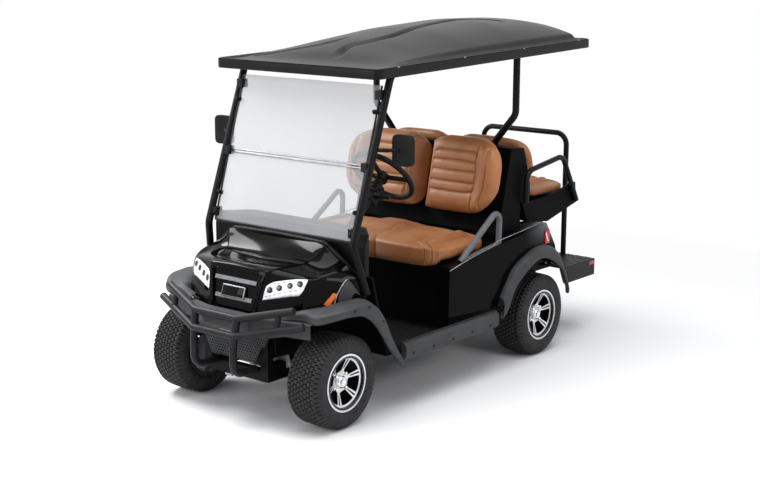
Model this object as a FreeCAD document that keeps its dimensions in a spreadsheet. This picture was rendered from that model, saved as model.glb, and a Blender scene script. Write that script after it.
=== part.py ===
"""Electric golf cart with two rows of seats, built as the real one is: a ladder frame with a rear
axle on leaf springs and steered front knuckles, a floor and seat pod, body panels,
two bench seats back to back, a tube-framed canopy and a windscreen in two panes.

Millimetres. +X is the cart's left, the front faces -Y, +Z is up. The origin is on the
ground at the middle of the overall length and width.
"""
import FreeCAD, Part
import math
import os
import re
import Sketcher
from FreeCAD import Placement, Rotation, Vector

# Driving sizes, each written once. Places along the cart are measured from the front
# axle or the rear axle, whichever carries the piece; a minus sign is towards the front.
SIZES = {
    # overall
    "overall_width": 1320, "front_overhang": 350, "wheelbase": 1664, "rear_overhang": 706,
    "seat_gap": 0.3, "running_gap": 0.3, "overrun": 20, "pin_gap": 0.05,
    # wheels
    "tyre_radius": 230, "tyre_width": 205, "tyre_bead_radius": 127.3, "tyre_bead_width": 176,
    "tyre_bulge_radius": 178, "tyre_shoulder_radius": 214, "tyre_tread_width": 168,
    "rim_radius": 127, "rim_lip_radius": 141.5, "rim_width": 190, "rim_wall": 6, "rim_lip": 5,
    "hub_face": 50, "hub_radius": 44, "hub_back": 30, "hub_thick": 16, "cap_radius": 30, "cap_face": 66,
    "spoke_face": 80, "spoke_count": 6, "window_inner": 56, "window_outer": 112, "window_angle": 44,
    "slot_inner": 66, "slot_outer": 112, "slot_angle": 5, "spoke_turn": 14,
    "drum_radius": 98, "drum_wall": 6,
    "front_track_half": 463, "rear_track_half": 486, "spindle_radius": 14,
    # knuckles and steering
    "kingpin_place": 350, "kingpin_radius": 9, "kingpin_low": 158, "kingpin_high": 302,
    "knuckle_radius": 21, "knuckle_half": 38, "steer_arm_reach": 80, "steer_arm_inset": 7,
    "steer_arm_drop": 36, "steer_arm_thick": 9, "steer_eye_radius": 11, "tie_rod_radius": 8, "rack_radius": 13,
    "tie_rod_gap": 0.4, "tie_rod_eye": 20, "rack_half": 150, "yoke_thick": 22, "yoke_width": 34,
    # frame
    "rail_inner": 165, "rail_width": 50, "rail_bottom": 205, "rail_height": 80,
    "rail_front": -180, "kick_set": 24, "kick_run": 120, "cross_width": 40, "cross_height": 56,
    "tail_gap": 34, "hook_width": 46, "hook_thick": 10, "hook_reach": 52, "hook_hole": 13,
    # rear axle and springs
    "axle_tube_radius": 34, "axle_end_set": 86, "diff_radius": 88, "diff_half": 62, "diff_place": 60,
    "motor_radius": 92, "motor_length": 290, "spring_place": 300, "spring_width": 50, "spring_leaf": 7,
    "spring_half_length": 330, "spring_seat": 12, "hanger_thick": 10,
    # floor, sills and pod
    "toe_half": 538, "floor_thick": 14, "floor_front": 325, "floor_lean": 118,
    "sill_outer": 606, "sill_width": 32, "sill_bottom": 255, "sill_top": 347, "sill_front": 396, "sill_back": -460,
    "sill_bevel": 18, "pod_front": -783, "pod_back": -360, "pod_wall": 6, "pod_top": 631,
    "hinge_set": 9, "hinge_drop": 8, "hinge_pin": 4, "hinge_barrel": 7, "hinge_side": 300, "hinge_length": 70,
    "hinge_lug": 6, "battery_half": 430, "battery_front": -740, "battery_length": 330, "battery_height": 250,
    # rear body
    "side_outer": 572, "side_wall": 6, "side_depth": 62, "side_front": -868, "side_front_low": -874,
    "side_low": 389, "side_front_high": 650, "side_high": 750, "side_high_place": 41, "side_back": 138,
    "side_back_high": 606, "side_tail": 200, "side_tail_low": 318, "arch_radius": 300,
    "rear_panel_wall": 6, "arch_clear": 20, "deck_wall": 6, "deck_top": 690, "deck_front": -428, "deck_back": -60,
    # flares
    "front_flare_lip": 612, "front_flare_start": 505, "front_flare_tip_root": 579,
    "rear_flare_lip": 618,
    "flare_wall": 4, "flare_roll": 22,
    # front body
    "cowl_half": 520, "cowl_wall": 4, "cowl_rear": 172, "nose_reach": 207, "nose_low": 540, "hood_rear_high": 868,
    "fascia_thick": 18, "fascia_recess": 12, "fascia_rim": 14, "fascia_proud": 2, "grille_bar": 20, "grille_bar_thick": 7,
    "lamp_depth": 34, "lamp_proud": 1.5, "lamp_inset": 4, "marker_thick": 3,
    "valance_reach": 250, "valance_low": 462, "valance_wall": 4, "valance_ledge": 8,
    "skirt_low": 352, "skirt_half": 200, "skirt_low_half": 115, "skirt_thick": 14, "nose_post": 36, "nose_plate": 6,
    "bow_radius": 12, "bow_bend": 40, "bow_low": 603, "post_radius": 15,
    # brush guard
    "guard_radius": 19, "guard_top": 538, "guard_top_half": 141, "guard_tip_half": 418, "guard_tip_rise": 63,
    "guard_top_set": 21, "guard_sweep": 97, "guard_low": 455, "guard_low_half": 135, "guard_low_tip_half": 475,
    "guard_low_rise": 77, "guard_low_sweep": 121, "guard_foot": 262, "guard_foot_half": 132, "guard_post_half": 345,
    "guard_bend": 60,
    # dash and pedals
    "dash_half": 505, "dash_rear_half": 355, "dash_shoulder": 30, "dash_back": 380, "dash_low": 700, "dash_high": 905, "dash_round": 24,
    "wheel_side": 300, "wheel_place": 585, "wheel_high": 1125, "wheel_radius": 165, "wheel_grip": 14,
    "wheel_tilt": 48, "column_radius": 24, "column_length": 370, "spoke_thick": 10, "spoke_width": 28, "wheel_hub_radius": 34,
    "pedal_width": 70, "pedal_height": 150, "pedal_thick": 12, "pedal_side": 220, "pedal_place": 365,
    # windscreen, struts and canopy
    "glass_thick": 5, "glass_half": 462, "screen_bottom": 150, "screen_bottom_high": 872, "screen_top": 380,
    "screen_top_high": 1606, "screen_joint_high": 1224, "screen_joint_gap": 6, "strut_radius": 19, "strut_half": 486,
    "strut_top": 420, "strut_kink": 128, "strut_kink_high": 860, "strut_foot": 182,
    "strut_foot_high": 622, "strut_foot_half": 528, "strut_bend": 70, "clip_width": 34, "clip_height": 44, "clip_depth": 46, "clip_lap": 12,
    "roof_rail_back": 400, "rear_strut_place": -164, "rear_strut_bend_high": 1367, "rear_strut_foot_half": 350,
    "canopy_half": 540, "canopy_front": 250, "canopy_length": 1933, "canopy_high": 1645, "canopy_lip": 46,
    "canopy_wall": 5, "canopy_corner": 40, "canopy_gutter": 58, "canopy_tilt": 1.5, "dome_rise": 128,
    "channel_radius": 38, "channel_depth": 22, "channel_bend": 45,
    # mirrors
    "mirror_width": 118, "mirror_height": 150, "mirror_thick": 26, "mirror_high": 1306, "mirror_place": 368,
    "mirror_radius": 26, "mirror_arm": 9,
    # seats
    "cushion_half": 505, "cushion_front": -874, "cushion_back": -434, "cushion_low": 644, "cushion_thick": 132,
    "board_thick": 12, "cushion_round": 32,
    "back_half": 520, "back_low": 865, "back_high": 1238, "back_foot": -421, "back_top": -330, "back_thick": 114,
    "cover_inset": 24, "cover_set": 10, "lobe_gap": 14, "rear_back_set": 19, "rear_back_thick": 92, "rear_back_foot": 62,
    "rear_back_top": -14,
    "rear_back_high": 1204, "rear_back_low": 978,
    "tub_half": 515, "tub_front": -125, "tub_front_low": -69, "tub_middle": 137, "tub_back": 446, "tub_low": 736,
    "tub_front_rise": 31, "tub_rear_low": 806, "tub_high": 925, "tub_wing": 64, "tub_wall": 16, "tub_front_high": 879,
    "rear_cushion_gap": 21, "rear_cushion_front": 28, "rear_cushion_back": 400, "rear_cushion_low": 862,
    "rear_cushion_high": 950,
    # arms and rails
    "arm_radius": 16, "arm_place": 550, "arm_front": -752, "arm_top": -392, "arm_back": -400, "arm_seat": -4,
    "arm_high": 902, "arm_bend": 40, "loop_radius": 15, "loop_front": -110, "loop_corner": 1050, "loop_top": 258,
    "loop_high": 1098,
    "loop_back": 420, "loop_low": 822, "loop_bend": 70,
    "hoop_half": 300, "hoop_high": 1163, "hoop_set": 36, "hoop_radius": 16, "hoop_bend": 70,
    "frame_tube": 38, "frame_half": 440,
    # step and lamps
    "step_half": 500, "step_depth": 331, "step_rim": 100, "step_drop": 5, "step_high": 428, "step_low": 325, "step_wall": 6,
    "tail_lamp_low": 634, "tail_lamp_high": 708, "tail_lamp_width": 44, "tail_lamp_depth": 10,
}

doc = FreeCAD.newDocument("GolfCart")
sheet = doc.addObject("Spreadsheet::Sheet", "Sizes")
for row, (alias, value) in enumerate(SIZES.items(), start=1):
    sheet.set(f"A{row}", alias)
    sheet.set(f"B{row}", str(value))
    sheet.setAlias(f"B{row}", alias)
doc.recompute()

FRONT = "((front_overhang - wheelbase - rear_overhang) / 2)"
REAR = "((front_overhang + wheelbase - rear_overhang) / 2)"
NOSE = "(-(front_overhang + wheelbase + rear_overhang) / 2)"
TAIL = "((front_overhang + wheelbase + rear_overhang) / 2)"
LIFT = "(step_high - step_drop - step_wall - seat_gap - rail_bottom - rail_height)"
TINY = 1e-9

nodes = {}


def bound(text):
    """The expression with every size written as a cell of the sheet."""
    return re.sub(r"[a-z][a-z_]+", lambda word: f"Sizes.{word[0]}" if word[0] in SIZES else word[0], str(text))


def size(text):
    """The expression's value now, as a plain number."""
    return float(sheet.evalExpression(bound(text)))


def at(x, y, z):
    return Vector(size(x), size(y), size(z))


def keep(name, thing):
    """Name a finished sub-part; its label is its file's name."""
    thing.Label = name
    nodes[name] = thing
    return thing


def feature(name, shape):
    """A sub-part, or a piece of one, whose shape comes from its own formula."""
    thing = doc.addObject("Part::Feature", name)
    thing.Shape = shape
    return thing


def plane(body, role):
    return [item for item in body.Origin.OriginFeatures if item.Role == role][0]


def pin_place(sketch, leg, end, place, words):
    """Hold one end of a sketch leg at a place written in sizes."""
    for kind, axis, value, text in (("DistanceX", -2, place.x, words[0]), ("DistanceY", -1, place.y, words[1])):
        if abs(value) < TINY:
            sketch.addConstraint(Sketcher.Constraint("PointOnObject", leg, end, axis))
            continue
        number = sketch.addConstraint(Sketcher.Constraint(kind, -1, 1, leg, end, value))
        sketch.setExpression(f"Constraints[{number}]", bound(text))


def draw(sketch, outline):
    """Closed outline. A corner is (x, y); (mid x, mid y, x, y) reaches it by an arc."""
    places = [Vector(size(step[-2]), size(step[-1]), 0) for step in outline]
    starts, stops, middles = [], [], []
    first = sketch.GeometryCount
    for index, here in enumerate(places):
        step = outline[(index + 1) % len(outline)]
        there = places[(index + 1) % len(places)]
        leg = first + index
        starts.append((leg, 1))
        stops.append((leg, 2))
        if len(step) == 2:
            sketch.addGeometry(Part.LineSegment(here, there), False)
            continue
        middle = Vector(size(step[0]), size(step[1]), 0)
        middles.append((leg, middle, step[:2]))
        if (middle - here).cross(there - middle).z > 0:
            sketch.addGeometry(Part.Arc(here, middle, there), False)
        else:
            sketch.addGeometry(Part.Arc(there, middle, here), False)
            starts[-1], stops[-1] = (leg, 2), (leg, 1)
    for stop, start in zip(stops, starts[1:] + starts[:1]):
        sketch.addConstraint(Sketcher.Constraint("Coincident", *stop, *start))
    for start, place, step in zip(starts, places, outline):
        pin_place(sketch, *start, place, step[-2:])
    for leg, middle, words in middles:
        mark = sketch.addGeometry(Part.Point(middle), True)
        pin_place(sketch, mark, 1, middle, words)
        sketch.addConstraint(Sketcher.Constraint("PointOnObject", mark, 1, leg))


def drawing(body, name, role, outline, offset):
    sketch = body.newObject("Sketcher::SketchObject", name)
    sketch.AttachmentSupport = [(plane(body, role), "")]
    sketch.MapMode = "FlatFace"
    sign = "-" if role == "XZ_Plane" else ""
    sketch.setExpression(".AttachmentOffset.Base.z", bound(f"{sign}({offset})"))
    draw(sketch, outline)
    return sketch


def slab(name, role, outline, start, thick):
    """Outline on the plane, moved to start along its axis and padded by thick."""
    body = doc.addObject("PartDesign::Body", name)
    pad = body.newObject("PartDesign::Pad", f"{name}_pad")
    pad.Profile = drawing(body, f"{name}_outline", role, outline, start)
    pad.Reversed = role == "XZ_Plane"
    pad.setExpression("Length", bound(thick))
    body.Tip = pad
    return body


def spun(name, outline):
    """Outline in X (along the axle) and Y (the radius), turned about the X axis."""
    body = doc.addObject("PartDesign::Body", name)
    turn = body.newObject("PartDesign::Revolution", f"{name}_turn")
    turn.Profile = drawing(body, f"{name}_outline", "XY_Plane", outline, "0")
    turn.ReferenceAxis = (turn.Profile[0], ["H_Axis"])
    turn.Angle = 360
    body.Tip = turn
    return body


def block(name, x, y, z, wide, deep, tall):
    """Box with a corner at x, y, z."""
    box = doc.addObject("Part::Box", name)
    for key, text in (("Length", wide), ("Width", deep), ("Height", tall)):
        box.setExpression(key, bound(text))
    for key, text in zip("xyz", (x, y, z)):
        box.setExpression(f".Placement.Base.{key}", bound(text))
    return box


def beam(name, half, y, z, deep, tall):
    """Box centred on the cart's middle plane."""
    return block(name, f"-({half})", y, z, f"2 * ({half})", deep, tall)


def cylinder(name, radius, length, x, y, z, axis):
    """Cylinder from x, y, z along a direction."""
    rod = doc.addObject("Part::Cylinder", name)
    rod.setExpression("Radius", bound(radius))
    rod.setExpression("Height", bound(length))
    rod.Placement.Rotation = Rotation(Vector(0, 0, 1), Vector(*axis))
    for key, text in zip("xyz", (x, y, z)):
        rod.setExpression(f".Placement.Base.{key}", bound(text))
    return rod


def mirrored(name, source):
    """The same piece on the cart's right side."""
    copy = doc.addObject("Part::Mirroring", name)
    copy.Source = source
    copy.Normal = Vector(1, 0, 0)
    return copy


def pair(name, source):
    """The piece and its mirror image in one sub-part, as two solids."""
    both = doc.addObject("Part::Compound", name)
    both.Links = [source, mirrored(f"{name}_right", source)]
    return both


def fused(name, pieces):
    fusion = doc.addObject("Part::MultiFuse", name)
    fusion.Shapes = pieces
    return fusion


def common(name, base, tool):
    result = doc.addObject("Part::Common", name)
    result.Base = base
    result.Tool = tool
    return result


def cut(name, base, tool):
    result = doc.addObject("Part::Cut", name)
    result.Base = base
    result.Tool = tool
    return result



def tube(points, radius, bend):
    """Round tube along straight runs joined by tangent arcs of one bend radius."""
    edges = []
    start = points[0]
    for before, corner, after in zip(points, points[1:], points[2:]):
        into = (corner - before).normalize()
        out = (after - corner).normalize()
        turn = into.getAngle(out)
        reach = bend * math.tan(turn / 2)
        middle = corner + (out - into).normalize() * (bend / math.cos(turn / 2) - bend)
        first = corner - into * reach
        last = corner + out * reach
        edges += [Part.LineSegment(start, first), Part.Arc(first, middle, last)]
        start = last
    edges.append(Part.LineSegment(start, points[-1]))
    path = Part.Wire([edge.toShape() for edge in edges])
    ring = Part.Wire([Part.makeCircle(radius, points[0], points[1] - points[0])])
    return path.makePipeShell([ring], True, False)


def flip(shape):
    return shape.mirror(Vector(0, 0, 0), Vector(1, 0, 0))


def flip_place(place):
    return Vector(-place.x, place.y, place.z)


def two(shape):
    """A left-hand shape with its mirror image."""
    return Part.makeCompound([shape, flip(shape)])


def largest(shape):
    return max(shape.Solids, key=lambda solid: solid.Volume)


def ring_wire(points):
    return Part.makePolygon(points + points[:1])


def loft(rings, ruled=False):
    return Part.makeLoft([ring_wire(points) for points in rings], True, ruled)


def prism(points, direction):
    return Part.Face(ring_wire(points)).extrude(direction)


def moved(thing, x, y, z, turn=0):
    """Place a finished piece, turned about the vertical first."""
    thing.Placement = Placement(Vector(), Rotation(Vector(0, 0, 1), turn))
    for key, text in zip("xyz", (x, y, z)):
        thing.setExpression(f".Placement.Base.{key}", bound(text))
    return thing


# Wheels: a tubeless tyre on a cast rim with double spokes.
TYRE_OUTLINE = [
    ("-tyre_bead_width / 2", "tyre_bead_radius"),
    ("tyre_bead_width / 2", "tyre_bead_radius"),
    ("tyre_bead_width / 2", "rim_lip_radius + seat_gap"),
    ("tyre_width / 2", "tyre_bulge_radius", "tyre_tread_width / 2 + rim_lip", "tyre_shoulder_radius"),
    ("tyre_tread_width / 2", "(tyre_shoulder_radius + tyre_radius) / 2 + seat_gap",
     "tyre_tread_width / 2 - rim_lip_radius + tyre_bead_radius", "tyre_radius - seat_gap"),
    ("0", "tyre_radius", "-tyre_tread_width / 2 + rim_lip_radius - tyre_bead_radius", "tyre_radius - seat_gap"),
    ("-tyre_tread_width / 2", "(tyre_shoulder_radius + tyre_radius) / 2 + seat_gap",
     "-tyre_tread_width / 2 - rim_lip", "tyre_shoulder_radius"),
    ("-tyre_width / 2", "tyre_bulge_radius", "-tyre_bead_width / 2", "rim_lip_radius + seat_gap"),
]

RIM_BARREL = "(rim_radius - rim_wall)"
RIM_OUTLINE = [
    ("-rim_width / 2", RIM_BARREL), ("-rim_width / 2", "rim_lip_radius"),
    ("rim_lip - rim_width / 2", "rim_lip_radius"), ("rim_lip - rim_width / 2", "rim_radius"),
    ("rim_width / 2 - rim_lip", "rim_radius"), ("rim_width / 2 - rim_lip", "rim_lip_radius"),
    ("rim_width / 2", "rim_lip_radius"), ("rim_width / 2", RIM_BARREL),
    ("spoke_face", RIM_BARREL), ("hub_face", "hub_radius"), ("hub_face", "cap_radius"),
    ("cap_face", "cap_radius"), ("cap_face", "0"), ("hub_face - hub_thick", "0"),
    ("hub_face - hub_thick", "spindle_radius + pin_gap"), ("-hub_back", "spindle_radius + pin_gap"),
    ("-hub_back", "hub_radius"), ("hub_face - hub_thick", "hub_radius"),
    ("spoke_face - hub_thick", RIM_BARREL),
]


def sector(inner, outer, half_angle, turn):
    """Outline of a ring sector about a direction, its long sides straight."""
    corner = [(inner, f"{turn} - {half_angle}"), (outer, f"{turn} - {half_angle}"), (outer, turn),
              (outer, f"{turn} + {half_angle}"), (inner, f"{turn} + {half_angle}")]
    points = [(f"({reach}) * cos({angle})", f"({reach}) * sin({angle})") for reach, angle in corner]
    return [points[0], points[1], (*points[2], *points[3]), points[4]]


def rim(name):
    """Spoked rim: windows between the spokes and a slot along each spoke."""
    body = spun(name, RIM_OUTLINE)
    window = sector("window_inner", "window_outer", "window_angle / 2", "spoke_turn + 180 / spoke_count")
    slot = sector("slot_inner", "slot_outer", "slot_angle / 2", "spoke_turn")
    for kind, outline in (("window", window), ("slot", slot)):
        doc.recompute()
        pocket = body.newObject("PartDesign::Pocket", f"{name}_{kind}")
        pocket.Profile = drawing(body, f"{name}_{kind}_outline", "YZ_Plane", outline, "rim_width / 2")
        pocket.setExpression("Length", bound("rim_width / 2"))
        ring = body.newObject("PartDesign::PolarPattern", f"{name}_{kind}s")
        ring.Originals = [pocket]
        ring.Axis = (plane(body, "X_Axis"), [""])
        ring.Angle = 360
        ring.setExpression("Occurrences", bound("spoke_count"))
        body.Tip = ring
    return body


def wheels():
    for end, middle, track in (("front", FRONT, "front_track_half"), ("rear", REAR, "rear_track_half")):
        for side, sign, turn in (("left", "", 0), ("right", "-", 180)):
            place = (f"{sign}{track}", middle, "tyre_radius")
            tyre = spun(f"tyre_{end}_{side}", TYRE_OUTLINE)
            keep(f"tyre_{end}_{side}", moved(tyre, *place, turn))
            wheel = rim(f"rim_{end}_{side}")
            keep(f"rim_{end}_{side}", moved(wheel, *place, turn))


def knuckle_shape():
    """Left knuckle: kingpin, sleeve, spindle and a steering arm to the rear."""
    x, y, z = size("kingpin_place"), size(FRONT), size("tyre_radius")
    up, out = Vector(0, 0, 1), Vector(1, 0, 0)
    pin_low, pin_high = size("kingpin_low"), size("kingpin_high")
    half = size("knuckle_half")
    pin = Part.makeCylinder(size("kingpin_radius"), pin_high - pin_low, Vector(x, y, pin_low), up)
    sleeve = Part.makeCylinder(size("knuckle_radius"), 2 * half, Vector(x, y, z - half), up)
    reach = size("front_track_half + hub_face - hub_thick - seat_gap") - x
    spindle = Part.makeCylinder(size("spindle_radius"), reach, Vector(x, y, z), out)
    plate = Part.makeCylinder(size("drum_radius"), size("drum_wall"), Vector(size("kingpin_place + knuckle_radius"), y, z), out)
    tip = Vector(x - size("steer_arm_inset"), y + size("steer_arm_reach"), z - size("steer_arm_drop"))
    thick = size("steer_arm_thick")
    eye = size("steer_eye_radius")
    arm = prism([Vector(x - eye, y, tip.z), Vector(x + eye, y, tip.z), tip + Vector(eye, 0, 0), tip - Vector(eye, 0, 0)],
                Vector(0, 0, thick))
    boss = Part.makeCylinder(eye, thick, tip, up)
    return pin.multiFuse([sleeve, spindle, plate, arm, boss]).removeSplitter()


def steering():
    shape = knuckle_shape()
    keep("knuckle_left", feature("knuckle_left", shape))
    keep("knuckle_right", feature("knuckle_right", flip(shape)))
    tip = at("kingpin_place - steer_arm_inset", f"{FRONT} + steer_arm_reach", "tyre_radius - steer_arm_drop")
    radius = size("tie_rod_radius")
    top = tip - Vector(0, 0, size("tie_rod_gap"))
    thick = size("tie_rod_eye")
    middle = top.z - thick / 2
    eye = Part.makeCylinder(size("steer_eye_radius"), thick, top - Vector(0, 0, thick), Vector(0, 0, 1))
    rod = Part.makeCylinder(radius, 2 * tip.x, Vector(-tip.x, tip.y, middle), Vector(1, 0, 0))
    rack = Part.makeCylinder(size("rack_radius"), 2 * size("rack_half"), Vector(-size("rack_half"), tip.y, middle),
                             Vector(1, 0, 0))
    keep("tie_rods", feature("tie_rods", rod.multiFuse([eye, flip(eye), rack]).removeSplitter()))


def steering_axis():
    """Unit vector up the column, towards the driver."""
    tilt = math.radians(size("wheel_tilt"))
    return Vector(0, math.sin(tilt), math.cos(tilt))


def steering_wheel():
    hub = at("wheel_side", f"{FRONT} + wheel_place", "wheel_high")
    up = steering_axis()
    across = Vector(1, 0, 0)
    forward = across.cross(up)
    radius, grip = size("wheel_radius"), size("wheel_grip")
    rim_ring = Part.makeTorus(radius, grip, hub, up)
    boss = Part.makeCylinder(size("wheel_hub_radius"), 2 * grip + size("spoke_thick"), hub - up * (2 * grip), up)
    thick = size("spoke_thick")
    spokes = []
    for way in (across, across * -1, forward):
        side = way.cross(up).normalize() * (size("spoke_width") / 2)
        low = hub - up * thick
        spokes.append(prism([low + side, low - side, low - side + way * radius, low + side + way * radius], up * thick))
    shape = rim_ring.multiFuse([boss] + spokes).removeSplitter()
    keep("steering_wheel", feature("steering_wheel", shape))
    foot = hub - up * (2 * grip + size("running_gap"))
    column = Part.makeCylinder(size("column_radius"), size("column_length"), foot, up * -1)
    upper = largest(column.cut(nodes["dash"].Shape))
    keep("steering_column", feature("steering_column", upper))


def frame():
    rail = slab("rail", "YZ_Plane", [
        (f"{FRONT} + rail_front", "rail_bottom"), (f"{FRONT} + rail_front", "rail_bottom + rail_height"),
        (f"{REAR} - spring_half_length - kick_set", "rail_bottom + rail_height"),
        (f"{REAR} - spring_half_length - kick_set + kick_run", f"rail_bottom + rail_height + {LIFT}"),
        (f"{TAIL} - tail_gap", f"rail_bottom + rail_height + {LIFT}"),
        (f"{TAIL} - tail_gap", f"rail_bottom + {LIFT}"),
        (f"{REAR} - spring_half_length - kick_set + kick_run", f"rail_bottom + {LIFT}"), (f"{REAR} - spring_half_length - kick_set", "rail_bottom"),
    ], "rail_inner", "rail_width")
    inner = "rail_inner + rail_width / 2"
    crosses = []
    for number, (place, lift) in enumerate((
            (f"{FRONT} + rail_front", "0"), (f"{FRONT} + floor_front", "0"), (f"{FRONT} + wheelbase / 2", "0"),
            (f"{REAR} - spring_half_length - kick_set - cross_width", "0"), (f"{TAIL} - step_depth - cross_width", LIFT),
            (f"{TAIL} - tail_gap - cross_width", LIFT))):
        crosses.append(beam(f"cross_{number}", inner, place, f"rail_bottom + {lift}", "cross_width", "cross_height"))
    eye_top = "(rail_bottom + rail_height / 2 + spring_leaf + seat_gap)"
    reach = "spring_place + spring_width / 2"
    crosses.append(beam("hanger_front", reach, f"{REAR} - spring_half_length", eye_top, "2 * hanger_thick",
                        "spring_seat * 2"))
    crosses.append(beam("hanger_rear", reach, f"{REAR} + spring_half_length - 2 * hanger_thick",
                        f"rail_bottom + {LIFT}", "2 * hanger_thick", "cross_height"))
    shackle = block("shackle", "spring_place - spring_width / 2", f"{REAR} + spring_half_length - 2 * hanger_thick",
                    eye_top, "spring_width", "hanger_thick", f"rail_bottom + {LIFT} - {eye_top}")
    crosses += [shackle, mirrored("shackle_right", shackle)]
    rail_top, inner, arm_low = "(rail_bottom + rail_height)", "skirt_low_half", "(valance_low + nose_plate)"
    post = block("nose_post", inner, f"{FRONT} + rail_front", rail_top, f"rail_inner + rail_width - ({inner})",
                 "nose_post", f"{arm_low} + nose_plate - {rail_top}")
    web = beam("nose_plate", inner, f"{FRONT} + rail_front + nose_post - nose_plate", rail_top, "nose_plate",
               f"{arm_low} - {rail_top}")
    arm = block("nose_arm", inner, f"{FRONT} - valance_reach + valance_wall + 2 * seat_gap", arm_low, "nose_post",
                "valance_reach + rail_front + nose_post - valance_wall - 2 * seat_gap", "nose_plate")
    crosses += [post, mirrored("nose_post_right", post), web, arm, mirrored("nose_arm_right", arm)]
    keep("frame", fused("frame", [rail, mirrored("rail_right", rail)] + crosses))
    hook_y = f"{FRONT} + rail_front - hook_reach"
    plate = beam("hook_plate", "hook_width / 2", hook_y, "rail_bottom + hook_thick", "hook_reach - seat_gap", "hook_thick")
    hole = cylinder("hook_hole", "hook_hole", "3 * hook_thick", "0", f"{hook_y} + hook_width / 2", "rail_bottom", (0, 0, 1))
    keep("tow_eye", cut("tow_eye", plate, hole))


def front_suspension():
    """Delta plates and yokes that hold the kingpins, inboard of the wheels' sweep."""
    x, y, z = size("kingpin_place"), size(FRONT), size("tyre_radius")
    half, thick = size("yoke_width / 2"), size("yoke_thick")
    gap = size("running_gap")
    inner = size("rail_inner + rail_width") + size("seat_gap")
    pieces = []
    for low in (z - size("knuckle_half") - gap - thick, z + size("knuckle_half") + gap):
        arm = prism([Vector(inner, y - 2 * half, low), Vector(inner, y + 2 * half, low),
                     Vector(x, y + half, low), Vector(x, y - half, low)], Vector(0, 0, thick))
        boss = Part.makeCylinder(half, thick, Vector(x, y, low), Vector(0, 0, 1))
        bore = Part.makeCylinder(size("kingpin_radius + pin_gap"), 2 * thick, Vector(x, y, low - thick / 2), Vector(0, 0, 1))
        pieces.append(arm.fuse(boss).cut(bore))
    shape = Part.makeCompound([shape for piece in pieces for shape in (piece, flip(piece))])
    keep("front_suspension", feature("front_suspension", shape))


def rear_axle():
    z = "tyre_radius"
    tube_half = "(rear_track_half - axle_end_set)"
    tube_body = cylinder("axle_tube", "axle_tube_radius", f"2 * {tube_half}", f"-{tube_half}", REAR, z, (1, 0, 0))
    end = "(rear_track_half + hub_face - hub_thick - seat_gap)"
    spindle = cylinder("axle_shaft", "spindle_radius", f"2 * {end}", f"-{end}", REAR, z, (1, 0, 0))
    plate = cylinder("drum_plate", "drum_radius", "drum_wall", tube_half, REAR, z, (1, 0, 0))
    case = cylinder("diff_case", "diff_radius", "2 * diff_half", "diff_place - diff_half", REAR, z, (1, 0, 0))
    keep("rear_axle", fused("rear_axle", [tube_body, spindle, plate, mirrored("drum_plate_right", plate), case]))
    keep("drive_motor", cylinder("drive_motor", "motor_radius", "motor_length", "diff_place",
                                 f"{REAR} + diff_radius + seat_gap", z, (0, 1, 0)))
    spring = slab("spring", "YZ_Plane", [
        (f"{REAR} - spring_half_length", "rail_bottom + rail_height / 2"),
        (REAR, "tyre_radius - axle_tube_radius - spring_seat - spring_leaf",
         f"{REAR} + spring_half_length", "rail_bottom + rail_height / 2"),
        (f"{REAR} + spring_half_length", "rail_bottom + rail_height / 2 + spring_leaf"),
        (REAR, "tyre_radius - axle_tube_radius - seat_gap", f"{REAR} - spring_half_length",
         "rail_bottom + rail_height / 2 + spring_leaf"),
    ], "spring_place - spring_width / 2", "spring_width")
    keep("rear_springs", pair("rear_springs", spring))


def floor():
    top = "(rail_bottom + rail_height + floor_thick + seat_gap)"
    low = "(rail_bottom + rail_height + seat_gap)"
    pan = slab("floor_pan", "YZ_Plane", [
        (f"{FRONT} + sill_front", low), (f"{REAR} + pod_front - seat_gap", low),
        (f"{REAR} + pod_front - seat_gap", top), (f"{FRONT} + sill_front", top),
    ], "sill_width + seat_gap - sill_outer", "2 * (sill_outer - sill_width - seat_gap)")
    toe = slab("toe_board", "YZ_Plane", [
        (f"{FRONT} + floor_front", low), (f"{FRONT} + sill_front", low), (f"{FRONT} + sill_front", top),
        (f"{FRONT} + floor_front + floor_thick", top),
        (f"{FRONT} + floor_front - floor_lean + floor_thick", "dash_low - seat_gap"),
        (f"{FRONT} + floor_front - floor_lean", "dash_low - seat_gap"),
    ], "-toe_half", "2 * toe_half")
    keep("floor", fused("floor", [pan, toe]))
    sill = slab("sill", "XZ_Plane", [
        ("sill_outer - sill_width", "sill_bottom"), ("sill_outer - sill_bevel", "sill_bottom"),
        ("sill_outer", "sill_bottom + sill_bevel"), ("sill_outer", "sill_top - sill_bevel"),
        ("sill_outer - sill_bevel", "sill_top"), ("sill_outer - sill_width", "sill_top"),
    ], f"{FRONT} + sill_front", f"{REAR} + sill_back - ({FRONT} + sill_front)")
    keep("sills", pair("sills", sill))


def hinge_line():
    """Left seat hinge: the middle of its pin, ahead of the pod's front wall."""
    return at("hinge_side", f"{REAR} + pod_front - hinge_set", "pod_top - hinge_drop")


def pod_with_hinges(tub):
    """The pod with two hinge pins on lugs for the seat base."""
    doc.recompute()
    middle, half, lug = hinge_line(), size("hinge_length") / 2, size("hinge_lug")
    out, pin, barrel = Vector(1, 0, 0), size("hinge_pin"), size("hinge_barrel")
    pieces = [Part.makeCylinder(pin, 2 * (half + lug), middle - out * (half + lug), out)]
    reach = size("hinge_set")
    for start in (-half - lug, half):
        corner = middle + Vector(start, -pin, -barrel)
        pieces.append(Part.makeBox(lug, reach + pin, barrel + pin, corner))
    return tub.Shape.multiFuse(pieces + [flip(piece) for piece in pieces]).removeSplitter()


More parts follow.
